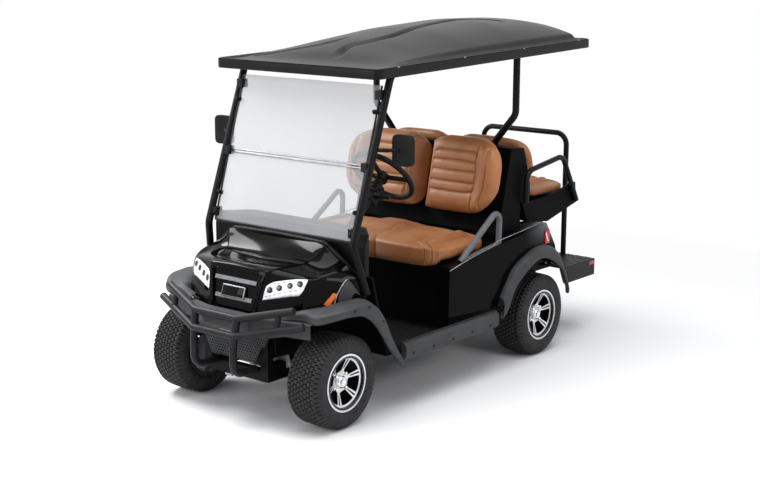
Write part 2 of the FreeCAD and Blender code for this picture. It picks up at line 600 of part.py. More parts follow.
def seat_pod():
    low = "(rail_bottom + rail_height + seat_gap)"
    outer = beam("pod_outer", "side_outer - side_depth - seat_gap", f"{REAR} + pod_front", low, "pod_back - pod_front", f"pod_top - {low}")
    inner = beam("pod_inner", "side_outer - side_depth - seat_gap - pod_wall", f"{REAR} + pod_front + pod_wall", f"{low} + pod_wall",
                 "pod_back - pod_front - 2 * pod_wall", "pod_top")
    tub = cut("pod_tub", outer, inner)
    keep("seat_pod", feature("seat_pod", pod_with_hinges(tub)))
    keep("battery_pack", beam("battery_pack", "battery_half", f"{REAR} + battery_front", f"{low} + pod_wall + seat_gap",
                              "battery_length", "battery_height"))


def side_outline(inset):
    """Side view of the painted rear quarter, drawn in by inset."""
    return [
        (f"{REAR} + side_front_low + {inset}", f"side_low + {inset}"),
        (f"{REAR} + side_front + {inset}", f"side_front_high - {inset}"),
        (f"{REAR} + side_high_place", f"side_high - {inset}"),
        (f"{REAR} + side_back - {inset}", f"side_back_high"),
        (f"{REAR} + side_tail - {inset}", f"side_tail_low + {inset}"),
    ]


def rear_body():
    """Painted quarter panels, each a wall with a return all round, open inboard."""
    skin = slab("side_skin", "YZ_Plane", side_outline("0"), "side_outer - side_depth", "side_depth")
    hollow = slab("side_hollow", "YZ_Plane", side_outline("side_wall"), "side_outer - side_depth - overrun",
                  "side_depth + overrun - side_wall")
    shell = cut("side_shell", skin, hollow)
    arch = cylinder("side_arch", "arch_radius", "side_depth + 2 * overrun", "side_outer - side_depth - overrun",
                    f"{REAR}", "tyre_radius", (1, 0, 0))
    keep("rear_body", pair("rear_body", cut("side_panel", shell, arch)))
    half = "side_outer - side_depth - seat_gap"
    low = "(2 * tyre_radius + arch_clear)"
    panel = beam("rear_panel", half, f"{REAR} + side_back - rear_panel_wall", low, "rear_panel_wall",
                            f"tub_low - frame_tube - overrun - {low}")
    deck = slab("deck_plate", "YZ_Plane", [
        (f"{REAR} + deck_front", "cushion_low"), (f"{REAR} + deck_front + deck_wall", "cushion_low"),
        (f"{REAR} + deck_front + deck_wall", "deck_top - deck_wall"),
        (f"{REAR} + pod_back - deck_wall", "deck_top - deck_wall"),
        (f"{REAR} + pod_back - deck_wall", "pod_top + seat_gap"), (f"{REAR} + pod_back", "pod_top + seat_gap"),
        (f"{REAR} + pod_back", "deck_top - deck_wall"), (f"{REAR} + deck_back", "deck_top - deck_wall"),
        (f"{REAR} + deck_back", "deck_top"), (f"{REAR} + deck_front", "deck_top"),
    ], f"-({half})", f"2 * ({half})")
    hole = block("post_hole", "rail_inner - seat_gap", f"{REAR} + rear_strut_place - frame_tube / 2 - seat_gap",
                 "pod_top", "frame_tube + 2 * seat_gap", "frame_tube + 2 * seat_gap", "deck_top")
    both = doc.addObject("Part::Compound", "inner_panels")
    both.Links = [cut("rear_deck", deck, pair("post_holes", hole)), panel]
    keep("inner_panels", both)


# Side view of each flare's lip and root about its axle, as shares of the tyre radius:
# how far along (rear is plus) and how far up from the axle.
FRONT_LIP_SHARES = [(-0.74, 1.48), (-0.60, 1.50), (-0.14, 1.48), (0.32, 1.24), (0.66, 0.98), (0.97, 0.63), (1.68, 0.06)]
FRONT_ROOT_SHARES = [(0.704, -0.50, 1.545), (0.808, -0.296, 1.575), (0.906, 0.052, 1.60), (0.984, 0.396, 1.62),
                     (1.0, 0.80, 1.55), (1.0, 1.18, 1.09), (1.0, 1.7204, 0.45)]
REAR_LIP_SHARES = [(-1.93, 0.33), (-1.70, 0.50), (-1.33, 1.05), (-0.36, 1.50), (0.50, 1.20), (0.90, 0.64), (0.97, 0.39)]
REAR_ROOT_SHARES = [(1.0, -1.80, 0.76), (1.0, -1.52, 1.10), (1.0, -1.20, 1.42), (1.0, -0.36, 1.72), (1.0, 0.26, 1.68),
                    (1.0, 0.62, 1.36), (1.0, 1.02, 0.60)]


def flare(middle, lip_shares, root_shares, lip, root, start_lip, tip_root):
    """Thin moulded flare: from the body out to a rolled lip, lofted round the wheel."""
    radius, wall, roll = size("tyre_radius"), size("flare_wall"), size("flare_roll")
    tip_x = size(tip_root)
    axle = Vector(0, size(middle), radius)
    rings = []
    for (lip_y, lip_z), (root_share, root_y, root_z) in zip(lip_shares, root_shares):
        lip_x, root_x = size(lip if rings else start_lip), size(root) * root_share
        edge = axle + Vector(lip_x, lip_y * radius, lip_z * radius)
        across = Vector(0, (root_y - lip_y) * radius, (root_z - lip_z) * radius)
        inward = Vector(across).normalize()
        late = max(0, len(rings) - 4) / 2
        base = edge + Vector(root_x + (tip_x - root_x) * late - lip_x, 0, 0) + across
        shoulder = edge + inward * roll
        thin = Vector(-wall, 0, 0)
        rings.append([base, shoulder, edge, edge + thin, shoulder + thin - inward * wall / 2, base - inward * wall])
    return loft(rings, True)


def flares():
    keep("front_flares", feature("front_flares", two(
        flare(FRONT, FRONT_LIP_SHARES, FRONT_ROOT_SHARES, "front_flare_lip", "cowl_half + seat_gap",
              "front_flare_start", "front_flare_tip_root"))))
    keep("rear_flares", feature("rear_flares", two(
        flare(REAR, REAR_LIP_SHARES, REAR_ROOT_SHARES, "rear_flare_lip", "side_outer + seat_gap",
              "rear_flare_lip", "side_outer + seat_gap"))))


# Front cowl, half of it: each row runs from the middle out to the side, the rows from the
# nose's low edge over the lamps and the hood to the rear edge. Each place is a share of
# the cowl's half-width, of the nose's reach (minus is ahead of the axle) and of the
# hood's height above the nose's low edge.
COWL_SHARES = [
    [(0, -1.0, 0), (0.265, -1.0, 0), (0.33, -0.93, 0), (0.68, -0.62, 0), (0.79, -0.38, 0), (0.88, 0.02, 0),
     (0.965, 0.42, 0)],
    [(0, -0.925, 0.207), (0.289, -0.925, 0.207), (0.348, -0.850, 0.207), (0.696, -0.50, 0.335), (0.80, -0.30, 0.21),
     (0.90, 0.08, 0.12), (0.972, 0.45, 0.09)],
    [(0, -0.797, 0.558), (0.329, -0.797, 0.558), (0.367, -0.744, 0.436), (0.719, -0.367, 0.518), (0.81, -0.18, 0.45),
     (0.905, 0.16, 0.34), (0.976, 0.50, 0.24)],
    [(0, -0.64, 0.665), (0.360, -0.61, 0.650), (0.41, -0.56, 0.620), (0.735, -0.22, 0.565), (0.82, -0.03, 0.575),
     (0.91, 0.28, 0.47), (0.982, 0.58, 0.29)],
    [(0, 0.097, 0.692), (0.48, 0.20, 0.700), (0.53, 0.20, 0.685), (0.735, 0.15, 0.62), (0.83, 0.25, 0.64),
     (0.92, 0.45, 0.52), (0.99, 0.68, 0.26)],
    [(0, 0.831, 1.0), (0.58, 0.60, 0.955), (0.63, 0.60, 0.91), (0.76, 0.64, 0.76), (0.87, 0.68, 0.66),
     (0.965, 0.74, 0.50), (1, 0.831, 0.20)],
]
# Parts of that grid: the lamp's corners, and the amber marker along the side corner.
LAMP_CELL_SHARES = ((1, 2), (1, 3), (2, 3), (2, 2))
MARKER_SHARES = ((0.40, 0.04), (0.70, 0.04), (0.97, 0.82), (0.74, 0.82))


# The bars' heights in the recess, and the valance's plan: shares of the cowl's
# half-width and of the valance's reach.
GRILLE_BAR_SHARES = (0.24, 0.78)
VALANCE_PLAN_SHARES = ((0, 1.0), (0.30, 1.0), (0.62, 0.80), (0.80, 0.74), (0.92, 0.68))


def cowl_place(share):
    """Left-hand place on the cowl for a share of its half-width, reach and height."""
    across, along, high = share
    return Vector(size("cowl_half") * across, size(FRONT) + size("nose_reach") * along,
                  size("nose_low") + (size("hood_rear_high") - size("nose_low")) * high)


def whole_row(row):
    """A row from left to right, from its left half given middle first."""
    return list(reversed(row)) + [Vector(-place.x, place.y, place.z) for place in row[1:]]


def patch(first, second, third, fourth):
    """Ruled face through four corners taken in turn."""
    return Part.makeRuledSurface(Part.makeLine(first, second), Part.makeLine(fourth, third))


def plate(rows, wall):
    """Moulded panel of even wall: ruled patches through a grid of places, the wall inward."""
    last_row, last = len(rows) - 1, len(rows[0]) - 1
    inner = []
    for i, row in enumerate(rows):
        line = []
        for j, place in enumerate(row):
            ahead = rows[min(i + 1, last_row)][j] - rows[max(i - 1, 0)][j]
            across = row[min(j + 1, last)] - row[max(j - 1, 0)]
            line.append(place - ahead.cross(across).normalize() * wall)
        inner.append(line)
    faces = []
    for i in range(last_row):
        for j in range(last):
            for grid in (rows, inner):
                faces.append(patch(grid[i][j], grid[i][j + 1], grid[i + 1][j + 1], grid[i + 1][j]))
    for i in (0, last_row):
        faces += [patch(rows[i][j], rows[i][j + 1], inner[i][j + 1], inner[i][j]) for j in range(last)]
    for j in (0, last):
        faces += [patch(rows[i][j], rows[i + 1][j], inner[i + 1][j], inner[i][j]) for i in range(last_row)]
    shell = Part.makeShell(faces)
    shell.sewShape()
    solid = Part.Solid(Part.Shell(shell.Faces))
    return solid if solid.Volume > 0 else solid.reversed()


def grown(points, distance):
    """Flat outline with each corner moved away from the outline's middle."""
    middle = sum(points, Vector()) * (1 / len(points))
    return [place + (place - middle).normalize() * distance for place in points]


def flattened(points):
    """Four corners laid on the plane that fits them, and its normal."""
    middle = sum(points, Vector()) * (1 / len(points))
    normal = (points[2] - points[0]).cross(points[3] - points[1]).normalize()
    return [place - normal * (place - middle).dot(normal) for place in points], normal


def block_on(points, normal, proud, depth):
    """Prism on a flat outline: proud of it along the normal, and depth into it."""
    return prism([place + normal * proud for place in points], normal * (-proud - depth))


def front_body():
    half_rows = [[cowl_place(share) for share in row] for row in COWL_SHARES]
    shell = plate([whole_row(row) for row in half_rows], size("cowl_wall"))
    gap, overrun = size("seat_gap"), size("overrun")
    strut = tube(strut_line(), size("strut_radius + seat_gap"), size("strut_bend"))

    # central panel: a frame round a recess with a blank plate between its two bars
    low, high = half_rows[0][1], half_rows[2][1]
    rim = size("fascia_rim")
    slope = (high - low).normalize()
    outline = [low + slope * rim, high, Vector(-high.x, high.y, high.z), flip_place(low + slope * rim)]
    normal = Vector(1, 0, 0).cross(slope) * -1
    normal = normal if normal.y < 0 else normal * -1
    opening = block_on(grown(outline, gap), normal, overrun, overrun)
    inset = grown(outline, -rim)
    recess = block_on(inset, normal, overrun, size("fascia_recess") - size("fascia_proud"))
    fascia = block_on(outline, normal, size("fascia_proud"), size("fascia_thick")).cut(recess)
    keep("front_fascia", feature("front_fascia", fascia))
    bars = []
    floor = normal * -(size("fascia_recess") - size("fascia_proud") - gap)
    for share in GRILLE_BAR_SHARES:
        middle = inset[0] + (inset[1] - inset[0]) * share
        half = slope * (size("grille_bar") / 2)
        wide = Vector(middle.x - rim, 0, 0)
        centre = Vector(0, middle.y, middle.z) + floor
        ring = [centre + wide - half, centre + wide + half, centre - wide + half, centre - wide - half]
        bars.append(prism(ring, normal * size("grille_bar_thick")))
    keep("grille_bars", feature("grille_bars", Part.makeCompound(bars)))

    # lamps let into the nose, and the markers on its side corners
    lamp, out = flattened([half_rows[i][j] for i, j in LAMP_CELL_SHARES])
    out = out if out.y < 0 else out * -1
    lens = grown(lamp, -size("lamp_inset"))
    lamp_hole = block_on(grown(lens, 2 * gap), out, overrun, size("lamp_depth") + overrun)
    keep("head_lamps", feature("head_lamps", two(block_on(lens, out, size("lamp_proud"), size("lamp_depth")))))
    corner = [half_rows[1][4], half_rows[1][5], half_rows[2][5], half_rows[2][4]]
    spots = [corner[0] + (corner[1] - corner[0]) * along + (corner[3] - corner[0]) * up for along, up in MARKER_SHARES]
    marker, side = flattened(spots)
    side = side if side.x > 0 else side * -1
    marker = block_on([place + side * gap * 4 for place in marker], side, size("marker_thick"), 0)
    keep("side_markers", feature("side_markers", two(largest(marker.cut(shell)))))

    # bow along the cowl's rear edge
    edge = half_rows[-1]
    back = Vector(0, size("bow_radius") + gap, 0)
    ends = Vector(edge[-1].x - size("bow_radius"), edge[-1].y, size("bow_low"))
    line = [place + back for place in (ends, edge[5] - Vector(size("bow_radius"), 0, 0), edge[3], edge[1], edge[0])]
    line[-1] = Vector(0, line[-2].y + size("bow_radius"), edge[0].z - size("bow_radius"))
    path = line + [flip_place(place) for place in reversed(line[:-1])]
    arch = tube(path, size("bow_radius"), size("bow_bend"))
    keep("cowl_bow", feature("cowl_bow", largest(arch.cut([strut, flip(strut)]))))
    groove = tube(path, size("bow_radius") + gap, size("bow_bend"))
    tools = [opening, lamp_hole, flip(lamp_hole), strut, flip(strut), groove]
    keep("front_cowl", feature("front_cowl", largest(shell.cut(tools))))

    # valance under the nose, out to the flares, and the mesh panel under it
    lip = size("valance_reach - nose_reach")
    rows = []
    for back, high in ((0, "valance_low"), (0, "nose_low - valance_ledge"), (lip, "nose_low - seat_gap")):
        rows.append(whole_row([Vector(size("cowl_half") * across, size(FRONT) - size("valance_reach") * along + back,
                                      size(high)) for across, along in VALANCE_PLAN_SHARES]))
    keep("front_valance", feature("front_valance", plate(rows, size("valance_wall"))))
    skirt_y = f"{FRONT} + rail_front - skirt_thick - seat_gap"
    top = "valance_low - seat_gap"
    keep("lower_grille", slab("lower_grille", "XZ_Plane", [
        ("-skirt_low_half", "skirt_low"), ("skirt_low_half", "skirt_low"), ("skirt_half", top), ("-skirt_half", top),
    ], skirt_y, "skirt_thick"))


def brush_guard():
    radius = size("guard_radius")
    nose = f"{NOSE} + guard_radius"
    low_bar = [at("guard_low_tip_half", f"{nose} + guard_low_sweep", "guard_low + guard_low_rise"),
               at("guard_low_half", nose, "guard_low")]
    low_bar += [flip_place(place) for place in reversed(low_bar)]
    top_y = f"{nose} + guard_top_set"
    top_bar = [at("guard_tip_half", f"{top_y} + guard_sweep", "guard_top + guard_tip_rise"),
               at("guard_top_half", top_y, "guard_top")]
    top_bar += [flip_place(place) for place in reversed(top_bar)]
    upright = [at("guard_top_half", top_y, "guard_top"), at("guard_foot_half", nose, "guard_low - guard_bend"),
               at("guard_foot_half", nose, "guard_foot"), at("guard_foot_half", f"{FRONT} + rail_front - seat_gap", "guard_foot")]
    post_share = (size("guard_post_half") - size("guard_top_half")) / (size("guard_tip_half") - size("guard_top_half"))
    post_top = top_bar[1] + (top_bar[0] - top_bar[1]) * post_share
    low_share = (size("guard_post_half") - size("guard_low_half")) / (size("guard_low_tip_half") - size("guard_low_half"))
    post_low = low_bar[1] + (low_bar[0] - low_bar[1]) * low_share
    post = Part.makeCylinder(size("post_radius"), post_top.distanceToPoint(post_low), post_low, post_top - post_low)
    inner = tube(upright, radius, size("guard_bend"))
    bend = size("guard_bend")
    shape = tube(low_bar, radius, bend).multiFuse([tube(top_bar, radius, bend), inner, flip(inner), post, flip(post)])
    keep("brush_guard", feature("brush_guard", shape.removeSplitter()))


def dash():
    front = f"{FRONT} + cowl_rear + 2 * bow_radius + 2 * seat_gap"
    side = slab("dash_side", "YZ_Plane", [
        (front, "dash_low"), (f"{FRONT} + dash_back", "dash_low"), (f"{FRONT} + dash_back", "dash_high - dash_round"),
        (f"{FRONT} + dash_back - dash_round", "dash_high"), (f"{front} + dash_round", "dash_high"),
        (front, "hood_rear_high - overrun"),
    ], "-dash_half", "2 * dash_half")
    waist = f"{front} + dash_shoulder"
    plan = slab("dash_plan", "XY_Plane", [
        ("-dash_half", front), ("dash_half", front), ("dash_half", waist), ("dash_rear_half", f"{FRONT} + dash_back"),
        ("-dash_rear_half", f"{FRONT} + dash_back"), ("-dash_half", waist)], "dash_low", "dash_high - dash_low")
    keep("dash", common("dash", side, plan))
    floor_top = "(rail_bottom + rail_height + floor_thick + 2 * seat_gap)"
    pedal = [block(f"pedal_{number}", f"pedal_side + {number} * (pedal_width + 2 * pedal_thick)",
                   f"{FRONT} + pedal_place", floor_top, "pedal_width", "pedal_thick", "pedal_height")
             for number in (0, 1)]
    both = doc.addObject("Part::Compound", "pedals")
    both.Links = pedal
    keep("pedals", both)


def screen_y(high):
    """Place of the windscreen's front face at a height."""
    slope = "(screen_top - screen_bottom) / (screen_top_high - screen_bottom_high)"
    return f"({FRONT} + screen_bottom + ({high} - screen_bottom_high) * {slope})"


def pane(name, low, high):
    outline = [(screen_y(low), low), (f"{screen_y(low)} + glass_thick", low),
               (f"{screen_y(high)} + glass_thick", high), (screen_y(high), high)]
    keep(name, slab(name, "YZ_Plane", outline, "-glass_half", "2 * glass_half"))


def windscreen():
    pane("windscreen_lower", "screen_bottom_high", "screen_joint_high - screen_joint_gap / 2")
    pane("windscreen_upper", "screen_joint_high + screen_joint_gap / 2", "screen_top_high")


def screen_fittings():
    """Clips between the panes and the front struts, at the top, the joint and the bottom."""
    line = strut_line()
    strut = tube(line, size("strut_radius + seat_gap"), size("strut_bend"))
    glass = [nodes[name].Shape for name in ("windscreen_lower", "windscreen_upper")]
    clips = []
    wide, tall = size("clip_width"), size("clip_height")
    deep = size("clip_depth")
    for high in ("screen_top_high - clip_height", "screen_joint_high", "screen_bottom_high + clip_height"):
        middle = at("strut_half - strut_radius", screen_y(high), high)
        clip = Part.makeBox(wide, deep, tall, middle - Vector(wide - size("clip_lap"), deep / 2, tall / 2))
        clips.append(largest(clip.cut([strut] + glass)))
    keep("screen_clips", feature("screen_clips", Part.makeCompound([shape for clip in clips for shape in (clip, flip(clip))])))


def ceiling(y):
    """Underside of the canopy's gutter at a place along the cart."""
    tilt = math.radians(size("canopy_tilt"))
    along = y - size(f"{FRONT} + canopy_front")
    return size("canopy_high") + (size("canopy_lip") - size("canopy_wall")) * math.cos(tilt) + along * math.tan(tilt)


def strut_line():
    """Front strut from its foot up the screen, then back under the canopy as a roof rail."""
    under = size("strut_radius + seat_gap")
    top_y, rail_y = size(f"{FRONT} + strut_top"), size(f"{REAR} + roof_rail_back")
    return [at("strut_foot_half", f"{FRONT} + strut_foot", "strut_foot_high"),
            at("strut_half", f"{FRONT} + strut_kink", "strut_kink_high"),
            Vector(size("strut_half"), top_y, ceiling(top_y) - under),
            Vector(size("strut_half"), rail_y, ceiling(rail_y) - under)]


def rear_strut_line():
    """Rear strut from the roof rail down, in between the seat backs, to the seat frame."""
    y = size(f"{REAR} + rear_strut_place")
    return [Vector(size("strut_half"), y, ceiling(y) - size("strut_radius")),
            at("strut_half", f"{REAR} + rear_strut_place", "rear_strut_bend_high"),
            at("rear_strut_foot_half", f"{REAR} + rear_strut_place", "rear_back_high"),
            at("rear_strut_foot_half", f"{REAR} + rear_strut_place", "tub_low")]


def struts():
    radius, bend = size("strut_radius"), size("strut_bend")
    line = strut_line()
    keep("front_struts", feature("front_struts", two(tube(line, radius, bend))))
    saddle = tube(line, radius + size("seat_gap"), bend)
    keep("rear_struts", feature("rear_struts", two(tube(rear_strut_line(), radius, bend).cut(saddle))))


# Dome of the canopy: place along its length, crown height and wall height as shares.
DOME_PLACE_SHARES = (0.10, 0.17, 0.28, 0.45, 0.70, 0.90, 1.0)
DOME_CROWN_SHARES = (0.0, 0.34, 0.68, 0.92, 1.0, 0.88, 0.66)
DOME_WALL_SHARES = (0.0, 0.05, 0.08, 0.10, 0.12, 0.14, 0.14)
DOME_WIDTH_SHARES = (1.0, 0.97, 0.86, 0.62, 0.32, 0.0)
DOME_HEIGHT_SHARES = (0.0, 0.34, 0.62, 0.86, 0.97, 1.0)


# Rain channels in the dome, front to rear: shares of the canopy's half-width, of its length
# and of the dome's rise. The long one lies left of the middle, the short one right of it.
LONG_CHANNEL_SHARES = ((0.16, 0.119, 0.19), (0.06, 0.187, 0.38), (0.055, 0.223, 0.49), (0.14, 0.264, 0.62),
                       (0.185, 0.331, 0.74), (0.157, 0.419, 0.86), (0.06, 0.575, 0.95), (0.06, 0.70, 0.99),
                       (0.22, 0.787, 0.97), (0.40, 0.807, 1.13))
SHORT_CHANNEL_SHARES = ((-0.83, 0.112, 0.16), (-0.57, 0.163, 0.24), (-0.37, 0.203, 0.42), (-0.24, 0.264, 0.64),
                        (-0.18, 0.331, 0.92))


def roof_channel(shares, inset, depth):
    """Round groove that follows the dome; inset makes it larger, for the sheet's inner side."""
    radius = size("channel_radius")
    lift = size("canopy_lip") + radius - depth
    places = [Vector(size("canopy_half") * across, size("canopy_length") * along, lift + size("dome_rise") * high)
              for across, along, high in shares]
    return tube(places, radius + inset, size("channel_bend"))


def canopy_form(inset):
    """Level canopy with its lip's low edge at zero height and its front at zero."""
    half, length, corner = size("canopy_half") - inset, size("canopy_length") - 2 * inset, size("canopy_corner")
    lip = size("canopy_lip") - inset
    box = Part.makeBox(2 * half, length, lip + inset, Vector(-half, inset, -inset))
    upright = [edge for edge in box.Edges if abs(edge.tangentAt(0).z) > 1 - TINY]
    tray = box.makeFillet(corner - inset, upright)
    inner = size("canopy_half") - size("canopy_gutter") - inset
    rise = size("dome_rise")
    root = lip - size("canopy_wall")
    rings = []
    for place, crown, wall in zip(DOME_PLACE_SHARES, DOME_CROWN_SHARES, DOME_WALL_SHARES):
        y = inset + length * place
        side = [Vector(inner, y, root)]
        for wide, high in zip(DOME_WIDTH_SHARES, DOME_HEIGHT_SHARES):
            side.append(Vector(inner * wide, y, lip + rise * (wall + (crown - wall) * high)))
        rings.append(side + [flip_place(place) for place in reversed(side[:-1])])
    dome = loft(rings, True)
    channels = [roof_channel(LONG_CHANNEL_SHARES, inset, size("channel_depth")),
                roof_channel(SHORT_CHANNEL_SHARES, inset, size("channel_depth / 2"))]
    return tray.fuse(dome).removeSplitter().cut(channels)


def canopy():
    wall = size("canopy_wall")
    shape = canopy_form(0).cut(canopy_form(wall))
    thing = feature("canopy", shape)
    thing.Placement = Placement(at("0", f"{FRONT} + canopy_front", "canopy_high"),
                                Rotation(Vector(1, 0, 0), size("canopy_tilt")))
    keep("canopy", thing)


def mirrors():
    thick = size("mirror_thick")
    half_w, half_h = size("mirror_width") / 2, size("mirror_height") / 2
    middle = at("overall_width / 2 - mirror_width / 2", f"{FRONT} + mirror_place", "mirror_high")
    box = Part.makeBox(2 * half_w, thick, 2 * half_h, middle - Vector(half_w, thick / 2, half_h))
    along = [edge for edge in box.Edges if abs(edge.tangentAt(0).y) > 1 - TINY]
    glass = box.makeFillet(size("mirror_radius"), along)
    line = strut_line()
    share = (middle.z - line[1].z) / (line[2].z - line[1].z)
    root = line[1] + (line[2] - line[1]) * share
    arm = Part.makeCylinder(size("mirror_arm"), middle.x - root.x, root, Vector(middle.x - root.x, middle.y - root.y, 0))
    strut = tube(line, size("strut_radius + seat_gap"), size("strut_bend"))
    keep("mirrors", feature("mirrors", two(glass.fuse(arm).cut(strut))))


def rounded(shape, radius):
    """Every edge rounded, as a stuffed cushion."""
    return shape.makeFillet(radius, shape.Edges)


def front_seat():
    low, thick = size("cushion_low"), size("cushion_thick")
    half, front, back = size("cushion_half"), size(f"{REAR} + cushion_front"), size(f"{REAR} + cushion_back")
    cushion = Part.makeBox(2 * half, back - front, thick, Vector(-half, front, low))
    keep("front_seat_cushion", feature("front_seat_cushion", rounded(cushion, size("cushion_round"))))
    board = beam("seat_board", "cushion_half - cushion_round", f"{REAR} + cushion_front + cushion_round",
                 "cushion_low - board_thick", "cushion_back - cushion_front - 2 * cushion_round",
                 "board_thick - seat_gap / 3")
    doc.recompute()
    middle, half = hinge_line(), size("hinge_length / 2 - running_gap")
    out, pin, barrel = Vector(1, 0, 0), size("hinge_pin"), size("hinge_barrel")
    sleeve = Part.makeCylinder(barrel, 2 * half, middle - out * half, out)
    leaf = Part.makeBox(2 * half, 2 * pin, size("cushion_low - board_thick") - middle.z, middle - Vector(half, pin, 0))
    bore = Part.makeCylinder(pin + size("pin_gap"), 2 * half, middle - out * half, out)
    hinge = sleeve.fuse(leaf).cut(bore)
    keep("front_seat_board", feature("front_seat_board", board.Shape.multiFuse([hinge, flip(hinge)]).removeSplitter()))


# Front view of one seat back's left lobe, corners and arc middles in turn: shares of the
# back's half-width and of its height.
LOBE_SHARES = [(0.0, 0.0), (0.80, 0.0), (0.93, 0.14, 0.985, 0.30), (1.0, 0.45, 0.99, 0.62), (0.965, 0.84, 0.86, 0.955),
               (0.72, 1.0, 0.52, 1.0), (0.30, 0.985, 0.16, 0.90), (0.08, 0.85, 0.0, 0.84)]


def seat_back(foot_y, top_y, low, high, half, thick, sign):
    """Two upright lobes side by side; sign +1 puts their thickness to the rear."""
    split = size("lobe_gap") / 2
    start = foot_y if sign > 0 else foot_y - thick
    scale = [(split + (half - split) * step[at_x], low + (high - low) * step[at_x + 1])
             for step in LOBE_SHARES for at_x in range(0, len(step), 2)]
    places = iter([Vector(x, start, z) for x, z in scale])
    first = here = next(places)
    edges = []
    for step in LOBE_SHARES[1:]:
        if len(step) == 2:
            there = next(places)
            edges.append(Part.LineSegment(here, there))
        else:
            middle, there = next(places), next(places)
            edges.append(Part.Arc(here, middle, there))
        here = there
    edges.append(Part.LineSegment(here, first))
    face = Part.Face(Part.Wire([edge.toShape() for edge in edges]))
    lobe = face.extrude(Vector(0, thick, 0))
    lobe.rotate(Vector(0, foot_y, low), Vector(1, 0, 0), -math.degrees(math.atan2(top_y - foot_y, high - low)))
    return two(lobe)


def seat_backs():
    front = seat_back(size(f"{REAR} + back_foot"), size(f"{REAR} + back_top"), size("back_low"), size("back_high"),
                      size("back_half"), size("back_thick"), 1)
    keep("front_seat_back", feature("front_seat_back", front))
    rear = seat_back(size(f"{REAR} + rear_back_foot"), size(f"{REAR} + rear_back_top"), size("rear_back_low"),
                     size("rear_back_high"), size("tub_half - rear_back_set"), size("rear_back_thick"), -1)
    keep("rear_seat_back", feature("rear_seat_back", rear))


def lean(foot, top, low, high):
    """Slope of a seat back, how far it goes along for each millimetre up."""
    return f"(({top} - {foot}) / ({high} - {low}))"


def back_covers():
    """Moulded cover between the two seats, from one seat's back to the other's, round the struts."""
    front_slope = lean("back_foot", "back_top", "back_low", "back_high")
    rear_slope = lean("rear_back_foot", "rear_back_top", "rear_back_low", "rear_back_high")

    def front_face(high):
        depth = f"back_thick * sqrt(1 + {front_slope} ^ 2) + seat_gap"
        return f"{REAR} + back_foot + {depth} + ({high} - back_low) * {front_slope}"

    def rear_face(high):
        depth = f"rear_back_thick * sqrt(1 + {rear_slope} ^ 2) + seat_gap"
        return f"{REAR} + rear_back_foot - ({depth}) + ({high} - rear_back_low) * {rear_slope}"

    front_top, rear_top = "(back_high - 2 * cover_inset)", "(rear_back_high - cover_inset)"
    before_tub, over_tub = f"{REAR} + tub_front - 3 * seat_gap", "tub_front_high + seat_gap"
    body = slab("cover_body", "YZ_Plane", [
        (front_face("tub_low"), "tub_low"), (before_tub, "tub_low"), (before_tub, over_tub),
        (rear_face("rear_back_low"), over_tub), (rear_face("rear_back_low"), "rear_back_low"),
        (rear_face(rear_top), rear_top), (front_face(front_top), front_top)], "cover_set - tub_half",
        "2 * (tub_half - cover_set)")
    doc.recompute()
    strut = tube(rear_strut_line(), size("strut_radius + seat_gap"), size("strut_bend"))
    keep("seat_back_cover", feature("seat_back_cover", largest(body.Shape.cut([strut, flip(strut)]))))


def rear_seat():
    """Moulded tub with side wings, open to the rear, and the cushion in it."""
    outer = slab("tub_outer", "YZ_Plane", [
        (f"{REAR} + tub_front_low", "tub_low + tub_front_rise"), (f"{REAR} + tub_middle", "tub_low"),
        (f"{REAR} + tub_back", "tub_rear_low"), (f"{REAR} + tub_back - tub_wall", "tub_high"),
        (f"{REAR} + tub_back - tub_wing", "tub_high"),
        (f"{REAR} + tub_middle", "tub_front_high", f"{REAR} + tub_front", "tub_front_high"),
    ], "-tub_half", "2 * tub_half")
    inner = beam("tub_inner", "tub_half - tub_wall", f"{REAR} + tub_front + tub_wall", "rear_cushion_low - seat_gap",
                 "tub_back - tub_front + tub_wall", "tub_high")
    keep("rear_seat_tub", cut("rear_seat_tub", outer, inner))
    back, front = size(f"{REAR} + rear_cushion_back"), size(f"{REAR} + rear_cushion_front")
    low, high = size("rear_cushion_low"), size("rear_cushion_high")
    half = size("tub_half - tub_wall - rear_cushion_gap")
    cushion = Part.makeBox(2 * half, back - front, high - low, Vector(-half, front, low))
    keep("rear_seat_cushion", feature("rear_seat_cushion", rounded(cushion, size("cushion_round"))))


def seat_frame():
    """Square tubes that carry the rear seat and the rear struts above the kicked-up rails."""
    rail_top = f"(rail_bottom + rail_height + {LIFT} + seat_gap)"
    width, top = "frame_tube", "(tub_low - seat_gap)"
    rise = "((tub_rear_low - tub_low) / (tub_back - tub_middle))"
    front, back = "(rear_strut_place - frame_tube / 2)", "(rear_overhang - step_depth - 2 * frame_tube)"
    back_top = f"({top} + ({back} - tub_middle) * {rise})"
    pieces = []
    for number, (place, high) in enumerate(((front, top), (back, back_top))):
        low = f"({high} - frame_tube)"
        pieces.append(beam(f"seat_cross_{number}", "frame_half", f"{REAR} + {place}", low, width, width))
        post = block(f"seat_post_{number}", "rail_inner", f"{REAR} + {place}", rail_top, width, width,
                     f"{low} - {rail_top}")
        pieces += [post, mirrored(f"seat_post_right_{number}", post)]
    side = slab("seat_side", "YZ_Plane", [
        (f"{REAR} + {front}", f"{top} - frame_tube"), (f"{REAR} + {front}", top), (f"{REAR} + tub_middle", top),
        (f"{REAR} + {back}", back_top), (f"{REAR} + {back}", f"{back_top} - frame_tube"),
        (f"{REAR} + tub_middle", f"{top} - frame_tube"),
    ], "frame_half - frame_tube", width)
    pieces += [side, mirrored("seat_side_right", side)]
    keep("seat_frame", fused("seat_frame", pieces))


